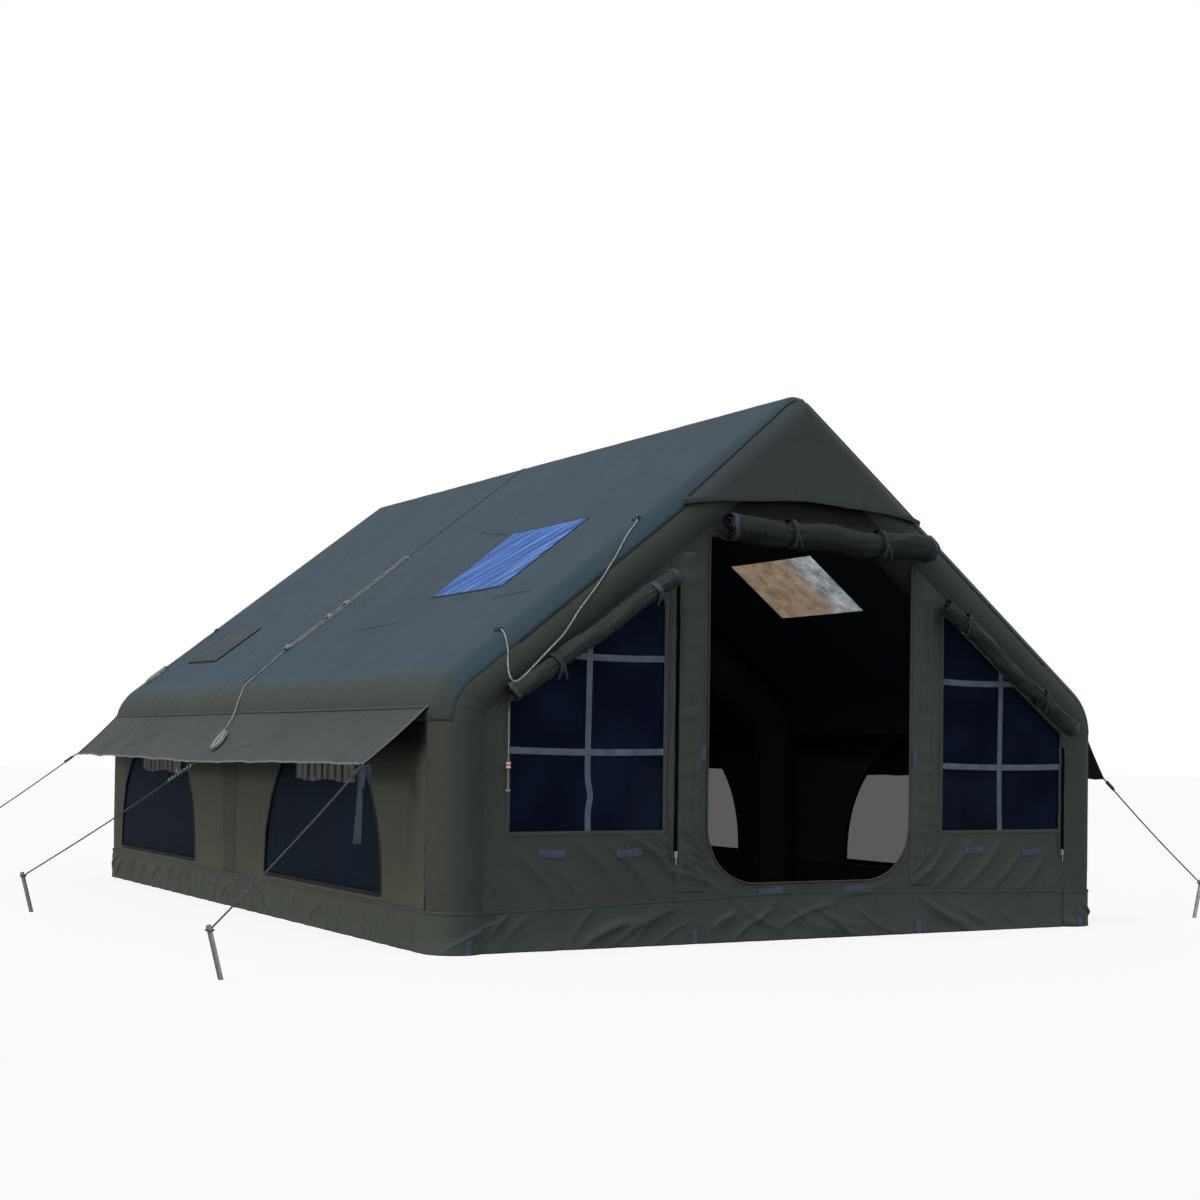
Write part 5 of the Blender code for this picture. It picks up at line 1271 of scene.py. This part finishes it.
HOOD_LEFT, HOOD_WIDTH, HOOD_HEIGHT, HOOD_HEM = -0.722, 1.460, 0.62, 2.131
shares, rises = np.meshgrid(np.linspace(0, 1, 110), np.linspace(0, 1, 60) ** 0.85)
x = HOOD_LEFT + HOOD_WIDTH * shares
hem = HOOD_HEM + 0.055 * np.sin(math.pi * shares) + 0.003 * np.sin(shares * 17)
ridge_line = RIDGE - np.abs(x) * SLOPE - (0.012 + 0.036 * np.abs(x) / 0.72) / math.cos(PITCH)
ridge_line = ridge_line - 0.02 * np.exp(-((x / 0.04) ** 2))
z = hem + (ridge_line - hem) * rises
depth = (RIDGE - np.abs(x) * SLOPE - z) * math.cos(PITCH)
ease = np.clip((depth - 0.015) / 0.11, 0, 1)
ease = ease * ease * (3 - 2 * ease)
plane = 2.7981 + (2.5298 - z) * 0.0582 + 0.012 * np.sin(math.pi * shares) * (1 - rises) ** 2
plane = plane + 0.0035 * waves(x, z, 0.45, 2.0, 71) + 0.004 * waves(x, z, 0.16, 6.0, 73) * (1 - rises) ** 4
out_y = (1 - ease) * (roof_edge(x, z) + 0.0022) + ease * np.maximum(plane, roof_edge(x, z) + 0.002)
hood = cloth("hood_sheet", np.stack([x, -out_y, z], axis=-1), np.stack([x, z], axis=-1), hood_canvas, 0.0015)
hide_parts("gable_hood")
hem_run = np.stack([x[0], -out_y[0] - 0.001, z[0] + 0.011], axis=1)
hood_hem = strip("hood_hem", hem_run, (0, -1, 0), 0.022, hood_canvas, 0.0018)
for label, columns in (("left", slice(3, 53)), ("right", slice(57, 107))):
    welt_run = np.stack([x[-1, columns], -out_y[-1, columns] - 0.001, z[-1, columns]], axis=1)
    slotted(
        strip(f"hood_welt_{label}", welt_run, (0, -0.85, 0.5), 0.014, tape, 0.0026),
    )
wrapped = math.radians(BACK_WRAP)
welt_y = -(ARCH_Y + SLEEVE * math.sin(wrapped) + 0.0008)
welt_drop = SLEEVE * (1 - math.cos(wrapped)) / math.cos(PITCH)
for side, label in ((-1, "left"), (1, "right")):
    across = np.linspace(0.70, 1.60, 90)
    run = np.stack([side * across, np.full(90, welt_y), RIDGE - across * SLOPE - welt_drop], axis=1)
    slotted(strip(f"roof_front_welt_{label}", run, (0, -0.87, 0.4), 0.010, tape, 0.0022))

# Rolls: the door sheet and both window sheets, rolled up and held by webbing ties sewn to the wall. They are
# crumpled cloth wound loosely, drawn in at the ties, with open spiral ends.

roll_canvas = canvas("roll_cloth", (0.022, 0.028, 0.028), fading=0.35, crumple=0.010, dust_height=0.01)
# Painted shadow: the door roll's cloth is darker still, for the hood's shadow falling on it.
door_roll_hood_shadow = canvas("door_roll_cloth", (0.012, 0.016, 0.016), fading=0.40, crumple=0.012, dust_height=0.01)
blue_binding = webbing("blue_binding", (0.026, 0.032, 0.050))
rolls = {
    "door_roll": ((-0.527, -2.8759, 2.028), (0.731, -2.8759, 1.996), 0.078, 3, (0.28, 0.72)),
    "window_roll_left": ((-0.792, -2.8499, 1.779), (-1.667, -2.8499, 1.181), 0.052, 2, (0.12, 0.72)),
    "window_roll_right": ((0.86, -2.8499, 1.722), (1.765, -2.8499, 1.075), 0.052, 2, (0.12, 0.72)),
}
for number, (name, (start, end, size, turns, ties)) in enumerate(rolls.items()):
    start, end = np.array(start), np.array(end)
    length = float(np.linalg.norm(end - start))
    along = (end - start) / length
    front_way = np.array((0.0, -1.0, 0.0))
    side_way = np.cross(front_way, along)
    steps, places = np.meshgrid(np.linspace(0, 1, 54 * turns), np.linspace(0, 1, round(length / 0.007)))
    metres = places * length
    # the loose end of the sheet lies at the back, against the wall
    angle = 2 * math.pi * turns * steps - math.pi / 2
    reach = size * (0.25 + 0.75 * steps)
    loose = 0.35 + 0.65 * steps
    strength = (0.60, 0.75, 1.15)[number]
    crumple = 0.10 * waves(angle * 0.05, metres, 0.06, 2.2, 81 + number)
    crumple = crumple + 0.09 * waves(metres, angle * 0.06, 0.11, 1.3, 85 + number)
    crumple = crumple + 0.07 * waves(metres + 0.02 * np.sin(angle), angle * 0.05, 0.045, 2.0, 88 + number)
    twist = 0.06 * np.sin(angle * 3 + metres * 22 + number)
    reach = reach * (1 + loose * (crumple + twist - 0.05) * strength)
    for tie in ties:
        reach = reach * (1 - 0.16 * np.exp(-(((places - tie) * length / 0.035) ** 2)))
        pleat = 0.05 * np.sin(angle * 9 + 3) * np.exp(-(((places - tie) * length / 0.08) ** 2))
        reach = reach * (1 + pleat * loose)
    reach = np.minimum(reach, size * 1.06)
    slump = 0.006 * np.sin(math.pi * places) + 0.004 * np.sin(metres * 9 + number)
    middle = start + places[..., None] * (end - start) - np.array((0, 0, 1.0)) * slump[..., None]
    middle = middle + side_way * (0.006 * np.sin(metres * 13 + 2 * number))[..., None]
    points = middle + front_way * (reach * np.sin(angle))[..., None] + side_way * (reach * np.cos(angle))[..., None]
    ragged = 0.012 * waves(angle * 0.05, 0 * angle, 0.12, 1.0, 91 + number)
    at_ends = np.exp(-((metres / 0.05) ** 2)) - np.exp(-(((length - metres) / 0.05) ** 2))
    points = points + along * (ragged * at_ends)[..., None]
    inner_length = turns * 2 * math.pi * size * 0.625
    finish = door_roll_hood_shadow if name == "door_roll" else roll_canvas
    roll = cloth(name + "_sheet", points, np.stack([metres, steps * inner_length], axis=-1), finish, 0.0030)
    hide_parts(name)
    pieces = []
    for which, tie in enumerate(ties):
        centre = start + along * (tie * length + 0.015) - np.array((0, 0, 0.006))
        ring = np.linspace(0, 2 * math.pi, 41)
        radius = size * 0.93 * (1 + 0.03 * np.sin(ring * 2 + which))
        run = centre + front_way * (radius * np.sin(ring))[:, None] + side_way * (radius * np.cos(ring))[:, None]
        outward = front_way * np.sin(ring)[:, None] + side_way * np.cos(ring)[:, None]
        finish = blue_binding if which == 0 and number == 1 else roll_canvas
        band = strip(f"{name}_tie_{which}", run, outward, 0.026, finish, 0.002)
        out_to_roll = np.linspace(-(FACE - 0.001), centre[1] + size * 0.80, 9)
        hanger = np.stack([np.full(9, centre[0]), out_to_roll, np.full(9, centre[2])], axis=1)
        hold = strip(f"{name}_hanger_{which}", hanger, tuple(side_way), 0.026, roll_canvas, 0.002)
        pieces += [band, hold]
        for end_number, sway in enumerate((-0.020, 0.026)):
            drop = np.linspace(0, 1, 12)
            x, y, z = centre + front_way * (size * 0.97)
            hang = np.stack([x + sway * drop, y - 0.008 * np.sin(math.pi * drop), z - 0.075 * drop], axis=1)
            bow = strip(f"{name}_bow_{which}_{end_number}", hang, (0, -1, 0), 0.012, roll_canvas, 0.0014)
            pieces.append(slotted(bow))
    for which, share in enumerate((0.014, 0.985) if number < 2 else (0.985,)):
        row = round(share * (len(points) - 1))
        hub = middle[row].mean(axis=0)
        run = points[row, -55:]
        outward = (run - hub) / np.linalg.norm(run - hub, axis=1)[:, None]
        run = run + outward * 0.0006
        pieces.append(slotted(strip(f"{name}_rim_{which}", run, outward, 0.022, blue_binding, 0.002)))

# Side walls: lower canvas walls between the arches, each with two wide bell-shaped openings. Dark tape binds
# the openings, net closes them, and inside the left ones hang short pale curtains, gathered on a cord.

side_olive = (0.081, 0.088, 0.066)
side_canvas = canvas("side_canvas", side_olive, fading=0.30, crumple=0.005, dust_height=0.45)
# Painted shadow: towards its top, from 0.86 m up, the side wall turns near black for the awning's shadow.
turning(side_canvas, "Object", "Z", 0.86, 0.97, side_olive, (0.006, 0.007, 0.007))
# Painted shade: this darker canvas is for a strip beside the middle arch, where the sleeve presses on the wall and
# shades it.
arch_strip_painted_shade = canvas("arch_strip_painted_shade", (0.064, 0.069, 0.053), fading=0.3, crumple=0.004, dust_height=0.45)
side_net = speckled("side_net", (0.012, 0.016, 0.030), 0.7, ((0.002, 0.008, 0.020), (0.006, 0.016, 0.036)), 2.4)
fine_mesh = side_net.node_tree.nodes["Principled BSDF"]
fine_mesh.inputs["Alpha"].default_value = 0.68
fine_mesh.inputs["Specular IOR Level"].default_value = 0.1
curtain_cloth = canvas(
    "curtain_cloth", (0.50, 0.49, 0.45), fading=0.15, threads=700.0, crumple=0.002, dust_height=0.01,
)
# Painted light: the curtains glow through their emission as if lit from behind, brighter and darker in stripes that
# follow the pleats.
curtain_glow_shader = curtain_cloth.node_tree.nodes["Principled BSDF"]
curtain_glow_shader.inputs["Emission Color"].default_value = (0.50, 0.49, 0.45, 1)
nodes, links = curtain_cloth.node_tree.nodes, curtain_cloth.node_tree.links
parts = nodes.new("ShaderNodeSeparateXYZ")
links.new(nodes.new("ShaderNodeTexCoord").outputs["UV"], parts.inputs[0])
PLEATS, CURTAIN_GATHERED, CURTAIN_DROP = 9, 1.25, 0.24
pleats_in_step = sums(nodes, links, "MULTIPLY", parts.outputs["X"], 2 * math.pi * PLEATS / CURTAIN_GATHERED)
pleated = sums(nodes, links, "SINE", pleats_in_step, 0)
pleat_glow_strength = new_node(nodes, "ShaderNodeMapRange", From_Min=-0.6, From_Max=0.9, To_Min=0.05, To_Max=1.0)
links.new(pleated, pleat_glow_strength.inputs["Value"])
links.new(pleat_glow_strength.outputs["Result"], curtain_glow_shader.inputs["Emission Strength"])
BELLS = (-1.317, 1.617)
BELL_HALF, BELL_SILL, BELL_HEIGHT, BELL_POWER, BELL_LAP = 0.826, 0.232, 0.79, 2.2, 0.018
WALL_TOP = 1.062
WALL_END = 2.65


def bell(centre, margin=0.0, steps=64):
    """A flat-bottomed bell on its sill, as a superellipse, in metres along and up the wall."""
    turn = np.linspace(0, math.pi, steps + 1)
    across = np.sign(np.cos(turn)) * np.abs(np.cos(turn)) ** (2 / BELL_POWER)
    high = np.maximum(np.sin(turn), 0) ** (2 / BELL_POWER)
    up = BELL_SILL - margin + (BELL_HEIGHT + 2 * margin) * high
    return np.stack([centre + (BELL_HALF + margin) * across, up], axis=1)


def side_off(u, z, seed):
    """How far a side wall stands out of its flat plane."""
    hem = np.exp(-(((z - SKIRT_TOP) / 0.05) ** 2)) + np.exp(-(((z - 1.06) / 0.05) ** 2))
    ends = np.exp(-(((np.abs(u) - WALL_END) / 0.10) ** 2))
    off = 0.0030 * waves(u, z, 0.62, 1.8, 100 + seed) * np.clip((WALL_END - np.abs(u)) / 0.1, 0, 1)
    off = off + 0.0022 * hem * waves(u, z, 0.11, 3.0, 104 + seed)
    off = off + 0.0030 * ends * waves(z, u, 0.12, 2.0, 108 + seed)
    for low, high in ((-2.45, -2.30), (-0.42, -0.20), (0.28, 0.55), (2.30, 2.50)):
        off = off + crease(u, z, (low, 0.95), (high, 0.30), 0.022, 0.005)
        off = off + crease(u, z, (high, 0.80), (low, 0.24), 0.016, 0.004)
    return off


for side, label in ((-1, "left"), (1, "right")):

    def on_side(u, z, lift=0.0, side=side):
        x = side * (HALF_WIDTH + side_off(u, z, 2 + side) + lift)
        return np.stack([x, side * np.asarray(u, float), z + 0 * u], axis=-1)

    def behind_side(u, z, side=side):
        x = side * (HALF_WIDTH - 0.0055 + np.minimum(side_off(u, z, 2 + side), 0.0))
        return np.stack([x, side * u, z], axis=-1)

    outline = [(-ARCH_Y, WALL_FOOT), (ARCH_Y, WALL_FOOT), (ARCH_Y, WALL_TOP), (-ARCH_Y, WALL_TOP)]
    openings = [bell(side * centre) for centre in BELLS]
    wall = cut_cloth(f"{label}_wall_sheet", outline, openings, 0.026, on_side, side_canvas, 0.0014)
    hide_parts(f"{label}_wall")
    for bay, centre in zip(("front", "rear"), BELLS):
        line = bell(side * centre, 0.004, 120)
        sill = np.stack([np.linspace(line[-1][0], line[0][0], 50), np.full(50, line[0][1])], axis=1)
        for part, run in (("arch", line), ("sill", sill)):
            on_wall = on_side(run[:, 0], run[:, 1], 0.0005)
            rim = strip(f"bell_{part}_{label}_{bay}", on_wall, (side, 0, 0), 0.020, tape, 0.0024)
        behind = cut_cloth(
            f"side_net_{label}_{bay}", bell(side * centre, BELL_LAP), [], 0.05, behind_side, side_net, 0.0007,
        )
        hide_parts(f"side_mesh_{label}_{bay}")
    # The painted shade strip beside the middle arch.
    across = side * np.linspace(0.02, 0.24, 14)
    u, z = np.meshgrid(np.sort(across), np.linspace(SKIRT_TOP, 1.05, 40))
    band = cloth(f"{label}_arch_band", on_side(u, z, 0.0012), np.stack([u, z], axis=-1), arch_strip_painted_shade, 0.0010)

for bay, centre in zip(("front", "rear"), BELLS):
    share, drop = np.meshgrid(np.linspace(0, 1, 260), np.linspace(0, 1, 26))
    phase = 2 * math.pi * PLEATS * (share + 0.012 * np.sin(share * 17 + 1))
    depth = (0.009 + 0.004 * np.sin(share * 23)) * (0.75 + 0.25 * drop)
    x = -1.9806 + depth * np.cos(phase) + 0.002 * np.sin(phase * 2 + drop * 3)
    y = centre + 0.42 * (2 * share - 1) * (1 + 0.02 * drop) + 0.004 * np.sin(phase + 1)
    z = 1.0 - CURTAIN_DROP * drop * (1 + 0.03 * np.sin(share * 11)) + 0.004 * np.cos(phase) * (1 - drop)
    curtain = cloth(
        f"curtain_sheet_{bay}", np.stack([x, y, z], axis=-1),
        np.stack([share * CURTAIN_GATHERED, drop * CURTAIN_DROP], axis=-1), curtain_cloth, 0.0012,
    )
    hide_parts(f"curtain_{bay}")

# Rear wall: one plain canvas sheet between the rear legs, without a door or windows, sewn to the rear sleeve.
# It hangs like the front wall, with a few slanting folds and a seam puckered over the skirt.


def on_rear(u, z):
    off = 0.004 * waves(u, z, 0.55, 1.8, 121) * np.clip((1.76 - np.abs(u)) / 0.1, 0, 1)
    off = off + 0.004 * np.exp(-(((z - SKIRT_TOP) / 0.06) ** 2)) * waves(u, z, 0.09, 3.0, 123)
    for foot, top in ((-1.5, -1.2), (-0.8, -0.5), (0.7, 0.45), (1.45, 1.15)):
        off = off + crease(u, z, (foot, 0.22), (top, 0.75), 0.03, 0.007)
    return np.stack([-u, FACE + off, z], axis=-1)


rear_canvas = canvas("rear_wall_canvas", wall_green, fading=0.34, crumple=0.007, dust_height=0.55)
rear = cut_cloth("rear_wall_sheet", wall_line, [], 0.03, on_rear, rear_canvas, 0.0015)
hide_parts("rear_wall")

# Awnings: a long strip of canvas hangs from each eave and is held out by the guys. Its edge is hemmed with
# tape whose pale colour is partly its own and partly a painted highlight along the edge; the edge scallops a little
# between the ties, and blue webbing and a pennant hang at the front left corner.

awning_canvas = canvas("awning_canvas", (0.050, 0.059, 0.055), fading=0.35, crumple=0.006, dust_height=0.01)
navy_webbing = webbing("navy_webbing", (0.030, 0.046, 0.085))
pennant_webbing = webbing("pennant_webbing", (0.034, 0.050, 0.069))
# The pale hem tape also stands for a painted highlight along the awning's edges.
hem_tape_highlight = canvas("hem_tape_highlight", (0.135, 0.150, 0.140), fading=0.2, threads=1300.0, crumple=0.001, dust_height=0.01)
AWNING_LENGTH, AWNING_DEPTH = 5.3, 0.393
awning_creases = (
    ((0.25, 0.36), (0.9, 0.10)), ((0.7, 0.30), (1.5, 0.16)), ((1.7, 0.12), (2.4, 0.30)),
    ((3.1, 0.33), (3.9, 0.15)), ((4.0, 0.1), (4.6, 0.3)), ((4.6, 0.12), (5.2, 0.34)),
)
for side, label, droop in ((-1, "left", math.radians(43)), (1, "right", math.radians(54))):
    share, out = np.meshgrid(np.linspace(0, 1, 300), np.linspace(0, 1, 30), indexing="ij")
    reach = np.array((side * math.cos(droop), 0, -math.sin(droop)))
    lifted = np.array((side * math.sin(droop), 0, math.cos(droop)))
    tie = 0.476 if side < 0 else 0.5
    bay = np.where(share < tie, share / tie, (share - tie) / (1 - tie))
    scallop = np.sin(math.pi * bay)
    metres = share * AWNING_LENGTH
    off = -0.020 * np.sin(math.pi * out) * (0.25 + scallop)
    off = off + 0.008 * waves(metres, out * 0.4, 0.62, 1.2, 131 + side) * out
    near_edges = np.exp(-((out / 0.22) ** 2)) + 0.7 * out**3
    off = off + 0.0016 * waves(metres, out * 0.4, 0.16, 1.6, 137 + side) * near_edges
    for begin, finish in awning_creases:
        off = off + crease(metres, out * AWNING_DEPTH, begin, finish, 0.022, 0.007)
    for spot in (0, tie, 1):
        beyond = (share - spot) * AWNING_LENGTH
        off = off + 0.004 * np.exp(-((beyond / 0.16) ** 2)) * np.sin(beyond * 70) * out
    off = off * np.clip(out / 0.06, 0, 1)
    far = AWNING_DEPTH * out * (1 - 0.035 * scallop * out)
    y = (AWNING_LENGTH / 2 - 0.05 * out) * (2 * share - 1)
    root = np.array((side * 1.993, 0, 1.1274))
    points = root + far[..., None] * reach + off[..., None] * lifted
    points = points + np.stack([0 * y, y, -0.022 * out * np.sin(math.pi * share)], axis=-1)
    flat = np.stack([metres, out * AWNING_DEPTH], axis=-1)
    if side < 0:
        points, flat = points[::-1], flat[::-1]
    awning = cloth(f"awning_sheet_{label}", points, flat, awning_canvas, 0.0014)
    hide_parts(f"awning_{label}")
    front_end, rear_end = (points[-1], points[0]) if side < 0 else (points[0], points[-1])
    for edge, run, wide, finish in (
        ("root", points[:, 1], 0.008, tape), ("lip", points[:, -1], 0.014, hem_tape_highlight),
        ("front", front_end, 0.014, hem_tape_highlight), ("rear", rear_end, 0.014, tape),
    ):
        slotted(
            strip(f"awning_{edge}_{label}", run + lifted * 0.0004, tuple(lifted), wide, finish, 0.0022),
        )
    if side < 0:
        corner = np.array((-2.2811, -2.6005, 0.8589))
        for number, (sway, drop, wide) in enumerate((
            (0.022, 0.075, 0.020), (-0.010, 0.10, 0.018), (0.040, 0.045, 0.020),
        )):
            span = np.linspace(0, 1, 24)
            loop = np.stack(
                [
                    corner[0] + 0.010 + sway * np.sin(math.pi * span),
                    corner[1] + 0.008 + 0.05 * span * (number - 0.6),
                    corner[2] - 0.004 - drop * np.sin(math.pi * span),
                ],
                axis=1,
            )
            slotted(
                strip(f"awning_webbing_{number}", loop, (-0.6, -0.8, 0.1), wide, navy_webbing, 0.002),
            )
fall = np.linspace(0, 1, 40)
run = np.stack(
    [-2.2804 + 0.004 * np.sin(fall * 5), -2.5408 - 0.010 * np.sin(math.pi * fall) * fall, 0.8576 - 0.36 * fall],
    axis=1,
)
pennant = strip("awning_pennant", run, (-0.35, -0.93, 0), 0.010 + 0.028 * fall**0.8, pennant_webbing, 0.0016)
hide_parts("awning_strap")

# Skirt and floor: a separate strip of the same canvas is sewn round the foot and reaches the ground, creased
# into slanting folds where the wall pulls it. Blue loops at its lower edge take pegs. Inside lies a brown floor.

skirt_canvas = canvas("skirt_canvas", (0.042, 0.058, 0.055), fading=0.35, crumple=0.008, dust_height=0.5)
# Painted light: the skirt's left side, where the light falls, is painted a lighter olive.
turning(skirt_canvas, "Object", "X", -1.99, -1.86, (0.086, 0.092, 0.074), (0.042, 0.056, 0.053))
floor_cloth = canvas(
    "floor_cloth", (0.070, 0.045, 0.028), fading=0.35, threads=500.0, crumple=0.006, dust_height=0.4,
)
lap = math.degrees(math.acos(0.0891 / SLEEVE))
foot = []
for corner_x, corner_y, start, end in (
    (leg, -ARCH_Y, -180 + lap, 0), (leg, ARCH_Y, 0, 180 - lap),
    (-leg, ARCH_Y, lap, 180), (-leg, -ARCH_Y, 180, 360 - lap),
):
    turns = np.radians(np.linspace(start, end, 26))
    foot += [(corner_x + SLEEVE * math.cos(turn), corner_y + SLEEVE * math.sin(turn)) for turn in turns]
foot = stepped(foot, 0.011)
foot = np.concatenate([foot, foot[:1]])
travel = np.concatenate([[0], np.cumsum(np.hypot(*np.diff(foot, axis=0).T))])
heading = np.gradient(foot, axis=0)
heading[0] = heading[-1] = foot[1] - foot[-2]
heading /= np.linalg.norm(heading, axis=1)[:, None]
away = np.stack([heading[:, 1], -heading[:, 0]], axis=1)
in_front = (foot[:, 1] < -2.765) & (np.abs(foot[:, 0]) < 1.78)
middle_rise = np.interp(foot[:, 0], (-1.76, 0, 1.76), (0.184, 0.238, 0.196))
top = np.where(in_front, middle_rise, SKIRT_TOP)
top = np.convolve(np.concatenate([top[-9:-1], top, top[1:9]]), np.ones(17) / 17, "valid")
rises = np.linspace(0, 1, 26)[:, None]
z = 0.0006 + (top - 0.0006) * rises
path, fronts = np.broadcast_to(travel, z.shape), np.broadcast_to(in_front, z.shape)
off = np.zeros(z.shape)
chance = np.random.default_rng(151)
around = float(travel[-1])
SKIRT_FOLDS = 170
for _ in range(SKIRT_FOLDS):
    start = chance.uniform(0, around)
    spot = np.array([np.interp(start, travel, foot[:, 0]), np.interp(start, travel, foot[:, 1])])
    facing = spot[1] < -2.7
    lean = (1 if spot[0] < -0.1 else -1) * chance.uniform(0.12, 0.42) if facing else chance.uniform(-0.22, 0.22)
    high = chance.uniform(0.006, 0.013) if facing else chance.uniform(0.004, 0.010)
    low_end, high_end = chance.uniform(-0.02, 0.06), chance.uniform(0.12, 0.23)
    off += crease(path, z, (start, low_end), (start + lean, high_end), chance.uniform(0.006, 0.018), high)
off = off * (1 - 0.75 * rises**8) + 0.003 * waves(path, z, 0.30, 1.5, 153)
off += 0.012 * (1 - rises) ** 4 * (0.5 + 0.5 * waves(path, z, 0.23, 3.0, 155))
near_leg = np.exp(-(((foot[:, 0] + 1.90) / 0.13) ** 2 + ((foot[:, 1] + 2.70) / 0.13) ** 2))
off += 0.006 * near_leg * (0.5 + 0.5 * np.sin(path * 2 * math.pi / 0.035)) * np.exp(-(((z - 0.17) / 0.06) ** 2))
lapped = np.clip((z - 0.15) / 0.04, 0, 1) * fronts
shown = np.broadcast_to(foot[:, 0], z.shape)
off = np.maximum(off, 0.0) + 0.0016
off = np.where(
    fronts, off + lapped * (np.maximum(front_off(shown, np.maximum(z, SKIRT_TOP)), -0.001) + 0.0006), off,
)
points = np.stack([foot[:, 0] + away[:, 0] * off, foot[:, 1] + away[:, 1] * off, z], axis=-1)
skirt = cloth("skirt_sheet", points, np.stack([path, z], axis=-1), skirt_canvas, 0.0014)
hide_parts("mud_skirt")
seam_run = points[-1] + np.stack([away[:, 0], away[:, 1], 0 * top], axis=1) * 0.0004
outward = np.stack([away[:-1, 0], away[:-1, 1], 0 * top[:-1]], axis=1)
slotted(strip("skirt_seam", seam_run[:-1], outward, 0.012, skirt_canvas, 0.0030))
for number, x in enumerate((-1.85, -0.62, 0.748, 1.85)):
    spot = int(np.argmin(np.hypot(foot[:, 0] - x, foot[:, 1] + 2.79)))
    heights = np.linspace(0.003, 0.066, 12)
    stand = np.interp(heights, z[:, spot], off[:, spot]) + 0.0015
    run = np.stack([foot[spot, 0] + away[spot, 0] * stand, foot[spot, 1] + away[spot, 1] * stand, heights], axis=1)
    slotted(
        strip(f"peg_loop_{number}", run, (away[spot, 0], away[spot, 1], 0), 0.030, tab_webbing, 0.003),
    )

inner_foot = foot[:-1:4] - away[:-1:4] * 0.0026


def on_ground(x, y):
    return np.stack([x, y, 0.0042 + 0.0015 * (1 + waves(x, y, 0.6, 1.5, 161))], axis=-1)


floor_sheet = cut_cloth("floor_sheet", inner_foot, [], 0.10, on_ground, floor_cloth, 0.003)
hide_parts("ground_sheet")

# Rope eyes: short loops of dark webbing, sewn down at both ends to the left slope. The ropes on the roof are
# tied through them.

eye_places = {
    "front_high": (-ARCH_Y, 1.145), "front_low": (-ARCH_Y, 2.075), "middle_high": (0.29, 1.062),
    "rear_high": (2.6, 1.648),
}
for name, (y, down) in eye_places.items():
    span = np.linspace(-1, 1, 17)
    run = slope_place(-1, y + 0.032 * span, np.full(17, down), 0.0005 + 0.011 * (1 - span**4))
    slotted(strip(f"rope_eye_{name}", run, off_slope[-1], 0.020, tape, 0.0016))

# Small fittings: galvanised steel stakes at the guys' ends, the valves' moulded plastic lids, and the cord's
# plastic stopper with its red and white bands. They keep their CAD shapes and get their finishes here.

steel = speckled("stake_steel", (0.34, 0.34, 0.35), 0.42, ((0.24, 0.235, 0.23), (0.44, 0.44, 0.45)), 60.0, 1.0)
plastic = speckled("cap_plastic", (0.05, 0.05, 0.055), 0.45, ((0.035, 0.035, 0.04), (0.07, 0.07, 0.075)), 70.0)
banded, nodes, links, shader = noded("stopper_plastic", (0.6, 0.1, 0.08), 0.4)
where = nodes.new("ShaderNodeTexCoord").outputs["Object"]
parts = nodes.new("ShaderNodeSeparateXYZ")
links.new(where, parts.inputs[0])
bands = sums(nodes, links, "SINE", sums(nodes, links, "MULTIPLY", parts.outputs["Z"], 370.0), 0)
pick = sums(nodes, links, "GREATER_THAN", bands, 0.0)
red = mottled(nodes, links, where, ((0.42, 0.045, 0.035), (0.56, 0.07, 0.05)), 80.0)
mix = new_node(nodes, "ShaderNodeMix", data_type="RGBA")
mix.inputs["B"].default_value = (0.72, 0.71, 0.68, 1)
links.new(pick, mix.inputs["Factor"])
links.new(red, mix.inputs["A"])
links.new(mix.outputs["Result"], shader.inputs["Base Color"])
finishes = {
    **{f"stake_{name}": (steel, "stake_steel") for name in guys},
    **{f"valve_cap_{name}": (plastic, "cap_plastic") for name in ("front", "middle", "rear")},
    "cord_stopper": (banded, "stopper_plastic"),
}
for name, (finish, slot) in finishes.items():
    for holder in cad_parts[name].material_slots:
        holder.material = finish

size = {"cad": [list(corner) for corner in cad_box], "visual": [list(corner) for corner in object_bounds()]}
